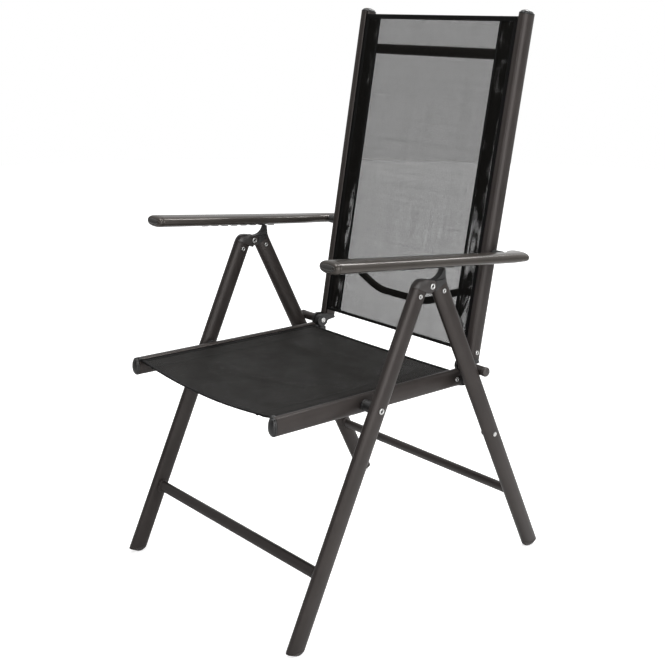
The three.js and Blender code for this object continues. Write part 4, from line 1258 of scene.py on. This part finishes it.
class Sling(NamedTuple):
    """One sling: where it runs, how it sags, how it is laid into its frame, and its cloths.

    sag is the depth at the start, in the middle and at the end of the span. Each ridge is a bar
    below the cloth: place along the span, skew, half its depth, middle, half its width, height.
    """

    word: str
    span: tuple
    sag: tuple
    uneven: float
    ridges: tuple
    place: Matrix
    cloth: str
    flap: str
    seam_sunk: float
    flat: tuple
    bars: list

    def spot(self, x, along, proud=0.0):
        """Point so far above the cloth."""
        start, end = self.span
        sink = self.sink(x, min(1.0, max(0.0, (along - start) / (end - start)))) - proud
        return self.laid(x, along, CHANNEL_RISE - sink)

    def laid(self, x, along, rise):
        """Point in the frame of the seat or of the back."""
        return (x, along, rise) if self.word == "seat" else (x, BACK_SETBACK - rise, along)

    def sink(self, x, share):
        """How far the cloth sinks below its channels, with a little unevenness of the pull."""
        first, middle, last = self.sag
        bulge = (middle - (first + last) / 2.0) * math.sin(math.pi * share)
        depth = first + (last - first) * share + bulge
        level = depth * max(0.0, 1.0 - (x / 190.0) ** 2)
        fade = max(0.0, 1.0 - (x / 200.0) ** 2)
        level += self.uneven * fade * noise.noise(Vector((x * 0.011, share * 5.0, depth)))
        along = self.span[0] + (self.span[1] - self.span[0]) * share
        for spot, skew, deep, middle, wide, height in self.ridges:
            off = (along - spot - skew * x) / deep
            level -= height * math.exp(-off ** 2 - ((x - middle) / wide) ** 4)
        return level

    def skin(self, rows, shift=(0.0, 0.0), **traits):
        """Skin over rows of (x, along, proud) points, with its weave map."""
        rings = [[self.spot(*point) for point in row] for row in rows]
        weave = [(x * MM + shift[0], along * MM + shift[1]) for row in rows for x, along, _ in row]
        return loft(rings, weave=weave, **traits)

    def sheet(self):
        start, end = self.span
        columns = evenly(-CLOTH_REACH, CLOTH_REACH, 84)
        return self.skin([
            [(x, along, 0.0) for x in columns]
            for along in evenly(start + 1.5, end - 1.5, int((end - start) / 5.0))
        ], closed=False, capped=False)

    def pocket(self, wide):
        """Cloth folded back behind the sling: an open layer, drawn in at seam and channel."""
        start, end = self.span
        steps = (
            (2.0, 0.9), (4.0, 1.2), (wide * 0.2, 2.0), (wide * 0.35, 2.7), (wide * 0.5, 2.9),
            (wide * 0.65, 2.6), (wide * 0.8, 1.8), (wide - 3.0, 1.0), (wide + 1.0, 0.85),
            (wide + 4.6, 0.8),
        )
        rows = []
        for along in evenly(start + 1.0, end - 1.0, int((end - start) / 4.0)):
            row = []
            for step, depth in steps:
                pull = noise.noise(Vector((step * 0.06, along * 0.02, 3.1)))
                puff = 1.0 + 0.6 * pull * math.sin(math.pi * min(1.0, step / wide))
                row.append((RAIL_INSIDE - wide + step, along, -depth * puff))
            rows.append(row)
        return self.skin(rows, shift=(0.0004, 0.0005), closed=False, capped=False)

    def band(self, low, high, thick, sunk=0.0):
        """Closely sewn band of several layers that runs the length of the sling."""
        start, end = self.span
        outline = both_faces([
            ((high - low) * share, half) for share, half in (
                (0.0, 0.3), (0.08, 0.85), (0.3, 1.0), (0.5, 0.7), (0.7, 1.0), (0.92, 0.85),
                (1.0, 0.3),
            )
        ])
        return self.skin([
            [(low + step, along, half * thick - sunk) for step, half in outline]
            for along in evenly(start, end, int((end - start) / 6.0))
        ])

    def hem(self, long, at_end):
        """Turned-over end of the cloth, pinched along its seam."""
        edge, inward = (self.span[1], -1.0) if at_end else (self.span[0], 1.0)
        outline = both_faces((
            (0.0, 0.5), (0.35, 1.0), (1.1, 1.4), (long * 0.45, 1.35), (long - 2.6, 1.1),
            (long - HEM_LINE, 0.8), (long - 0.9, 1.05), (long, 0.4),
        ))
        return self.skin([
            [(x, edge + inward * step, half) for step, half in outline]
            for x in evenly(1.0 - RAIL_INSIDE, RAIL_INSIDE - 1.0, 96)
        ])

    def bead(self):
        """Keder bead inside the channel."""
        rings, weave = [], []
        for along in evenly(*self.span, 24):
            ring = []
            for turn in turns(16):
                x = RAIL_X - CHANNEL_IN + BEAD_RADIUS * math.cos(turn)
                rise = CHANNEL_RISE - BEAD_RADIUS * math.sin(turn)
                ring.append(self.laid(x, along, rise))
                weave.append((BEAD_RADIUS * MM * turn, along * MM))
            rings.append(ring)
        return loft(rings, weave=weave)


SLINGS = (
    Sling(
        "seat", (-194.0, 244.0), (13.0, 14.0, 1.0), 0.5,
        ((-42.0, 0.286, 15.0, -5.0, 125.0, 2.0), (140.0, 0.1, 17.0, -90.0, 70.0, 2.4)),
        SEAT, "seat cloth", "seat cloth", 1.5,
        (0.495, 0.470), ["seat_rail_left_form", "seat_rail_right_form"],
    ),
    Sling(
        "back", (24.0, 655.0), (1.5, 5.0, 1.0), 0.12, (), BACK, "back cloth", "flap cloth", 0.0,
        (0.495, 0.664), ["back_tube_left_form", "back_tube_right_form"],
    ),
)


class CHAIR_OT_slings(bpy.types.Operator):
    """Lays the two woven slings with their sewn side pockets, end hems and beaded edges"""

    bl_idname = "patio_chair.slings"
    bl_label = "Slings"

    def execute(self, context):
        sizes = context.scene.chair_sizes
        pocket = sizes.pocket * PER_METRE
        hems = (("front", sizes.hem_top * PER_METRE), ("rear", sizes.hem_foot * PER_METRE))
        for sling in SLINGS:
            word, node, place = sling.word, f"{sling.word}_sling", sling.place
            made = piece(
                f"{node}_cloth", [sling.sheet()], place, [sling.cloth], [node],
                closed=False, angle=180.0,
            )
            seam = RAIL_INSIDE - pocket
            edging = [
                sling.band(seam, seam + 5.0, 1.1, sling.seam_sunk),
                # The band at the channel is partly the cloth's edge doubled round its bead and
                # partly painted shadow: it is kept closed and dark to stand for the shade under
                # the tube's lip.
                sling.band(RAIL_INSIDE - 6.0, RAIL_INSIDE + 4.6, 0.85),
                sling.bead(),
            ]
            rides = {"slot": node, "body": BODY_OF[node], "angle": 180.0}
            for hand, side in SIDES:
                piece(
                    f"{word}_pocket_{hand}", [sling.pocket(pocket)], place, [sling.flap],
                    side=side, closed=False, **rides,
                )
                piece(
                    f"{word}_edge_{hand}", edging, place, ["pocket cloth"], side=side, **rides,
                )
            for end, long in hems:
                strip = sling.hem(long, at_end=(end == "front") == (word == "back"))
                piece(
                    f"{word}_hem_{end}", [strip], place, ["pocket cloth"], **rides,
                )
        return {"FINISHED"}


def stitch_tree():
    """Geometry nodes: small rounded stitches along every path."""
    tree, given = new_tree("stitches", (
        ("Paths", "Geometry"), ("Pitch", "Float"), ("Size", "Vector"), ("Thread", "Material"),
    ), "Stitches")
    line = knot(tree, "GeometryNodeMeshToCurve", {"Mesh": given["Paths"]})
    spots = knot(
        tree, "GeometryNodeCurveToPoints", {"Curve": line.outputs[0], "Length": given["Pitch"]},
        mode="LENGTH",
    ).outputs
    bead = knot(tree, "GeometryNodeMeshUVSphere", {"Segments": 6, "Rings": 5, "Radius": 0.5})
    turn = aligned(tree, spots["Tangent"])
    sewn = set_at(tree, spots["Points"], bead.outputs["Mesh"], turn, given["Size"])
    real = knot(tree, "GeometryNodeRealizeInstances", {0: sewn}).outputs[0]
    dyed = {"Geometry": real, "Material": given["Thread"]}
    knot(tree, "NodeGroupOutput", {0: knot(tree, "GeometryNodeSetMaterial", dyed).outputs[0]})
    return tree


class CHAIR_OT_stitches(bpy.types.Operator):
    """Sews the seams of pockets and hems"""

    bl_idname = "patio_chair.stitches"
    bl_label = "Stitches"

    def execute(self, context):
        sizes = context.scene.chair_sizes
        inputs = {
            "Pitch": sizes.stitch_pitch,
            "Size": (sizes.thread, sizes.thread, sizes.stitch_length),
            "Thread": bpy.data.materials["thread"],
        }
        tree = stitch_tree()
        for sling in SLINGS:
            points, edges = [], []
            for row in self.rows(sling, sizes):
                first = len(points)
                points += in_chair(sling.place, 1, [sling.spot(*stitch) for stitch in row])
                edges += [(first + i, first + i + 1) for i in range(len(row) - 1)]
            name, node = f"{sling.word}_stitches", f"{sling.word}_sling"
            made = run_tree(tree, name, points, edges, inputs)
            finished(name, made, [], body=BODY_OF[node], angle=180.0)
        return {"FINISHED"}

    def rows(self, sling, sizes):
        """Rows of (x, along, proud) points: two side seams and two hems, on both faces."""
        start, end = sling.span
        inner = RAIL_INSIDE - sizes.pocket * PER_METRE
        hems = [sizes.hem_foot * PER_METRE, sizes.hem_top * PER_METRE]
        if sling.word == "seat":
            hems.reverse()
        rows = []
        for face in (1, -1):
            for side in (1, -1):
                x = side * (inner + SEAM_LINE)
                rows.append([(x, y, face * 0.85) for y in evenly(start + 3.0, end - 3.0, 90)])
            for along in (start + (hems[0] - HEM_LINE), end - (hems[1] - HEM_LINE)):
                rows.append([(x, along, face * 0.9) for x in evenly(-inner, inner, 60)])
        return rows


class CHAIR_PT_panel(bpy.types.Panel):
    """Lists the sizes, the colours and the steps of the chair"""

    bl_idname = "CHAIR_PT_panel"
    bl_label = "Patio Chair"
    bl_space_type = "VIEW_3D"
    bl_region_type = "UI"
    bl_category = "Patio Chair"

    def draw(self, context):
        for key, (group, title) in GROUPS.items():
            box = self.layout.box()
            box.label(text=title)
            for setting in group.__annotations__:
                box.prop(getattr(context.scene, key), setting)
        column = self.layout.column(align=True)
        for step in STEPS:
            column.operator(step.bl_idname)


STEPS = (
    CHAIR_OT_finishes,
    CHAIR_OT_stage,
    CHAIR_OT_legs,
    CHAIR_OT_knuckles,
    CHAIR_OT_seat_frame,
    CHAIR_OT_back_frame,
    CHAIR_OT_armrests,
    CHAIR_OT_fasteners,
    CHAIR_OT_slings,
    CHAIR_OT_stitches,
)
GROUPS = {
    "chair_sizes": (ChairSizes, "Sizes"),
    "chair_colours": (ChairColours, "Colours"),
    "chair_stage": (ChairStage, "Studio"),
}
CLASSES = (*(group for group, _ in GROUPS.values()), *STEPS, CHAIR_PT_panel)


def register():
    for part in CLASSES:
        bpy.utils.register_class(part)
    for key, (group, _) in GROUPS.items():
        setattr(bpy.types.Scene, key, PointerProperty(type=group))


def unregister():
    for key in GROUPS:
        delattr(bpy.types.Scene, key)
    for part in reversed(CLASSES):
        bpy.utils.unregister_class(part)


def main():
    register()
    for step in STEPS:
        area, name = step.bl_idname.split(".")
        getattr(getattr(bpy.ops, area), name)()


if __name__ == "__main__":
    main()
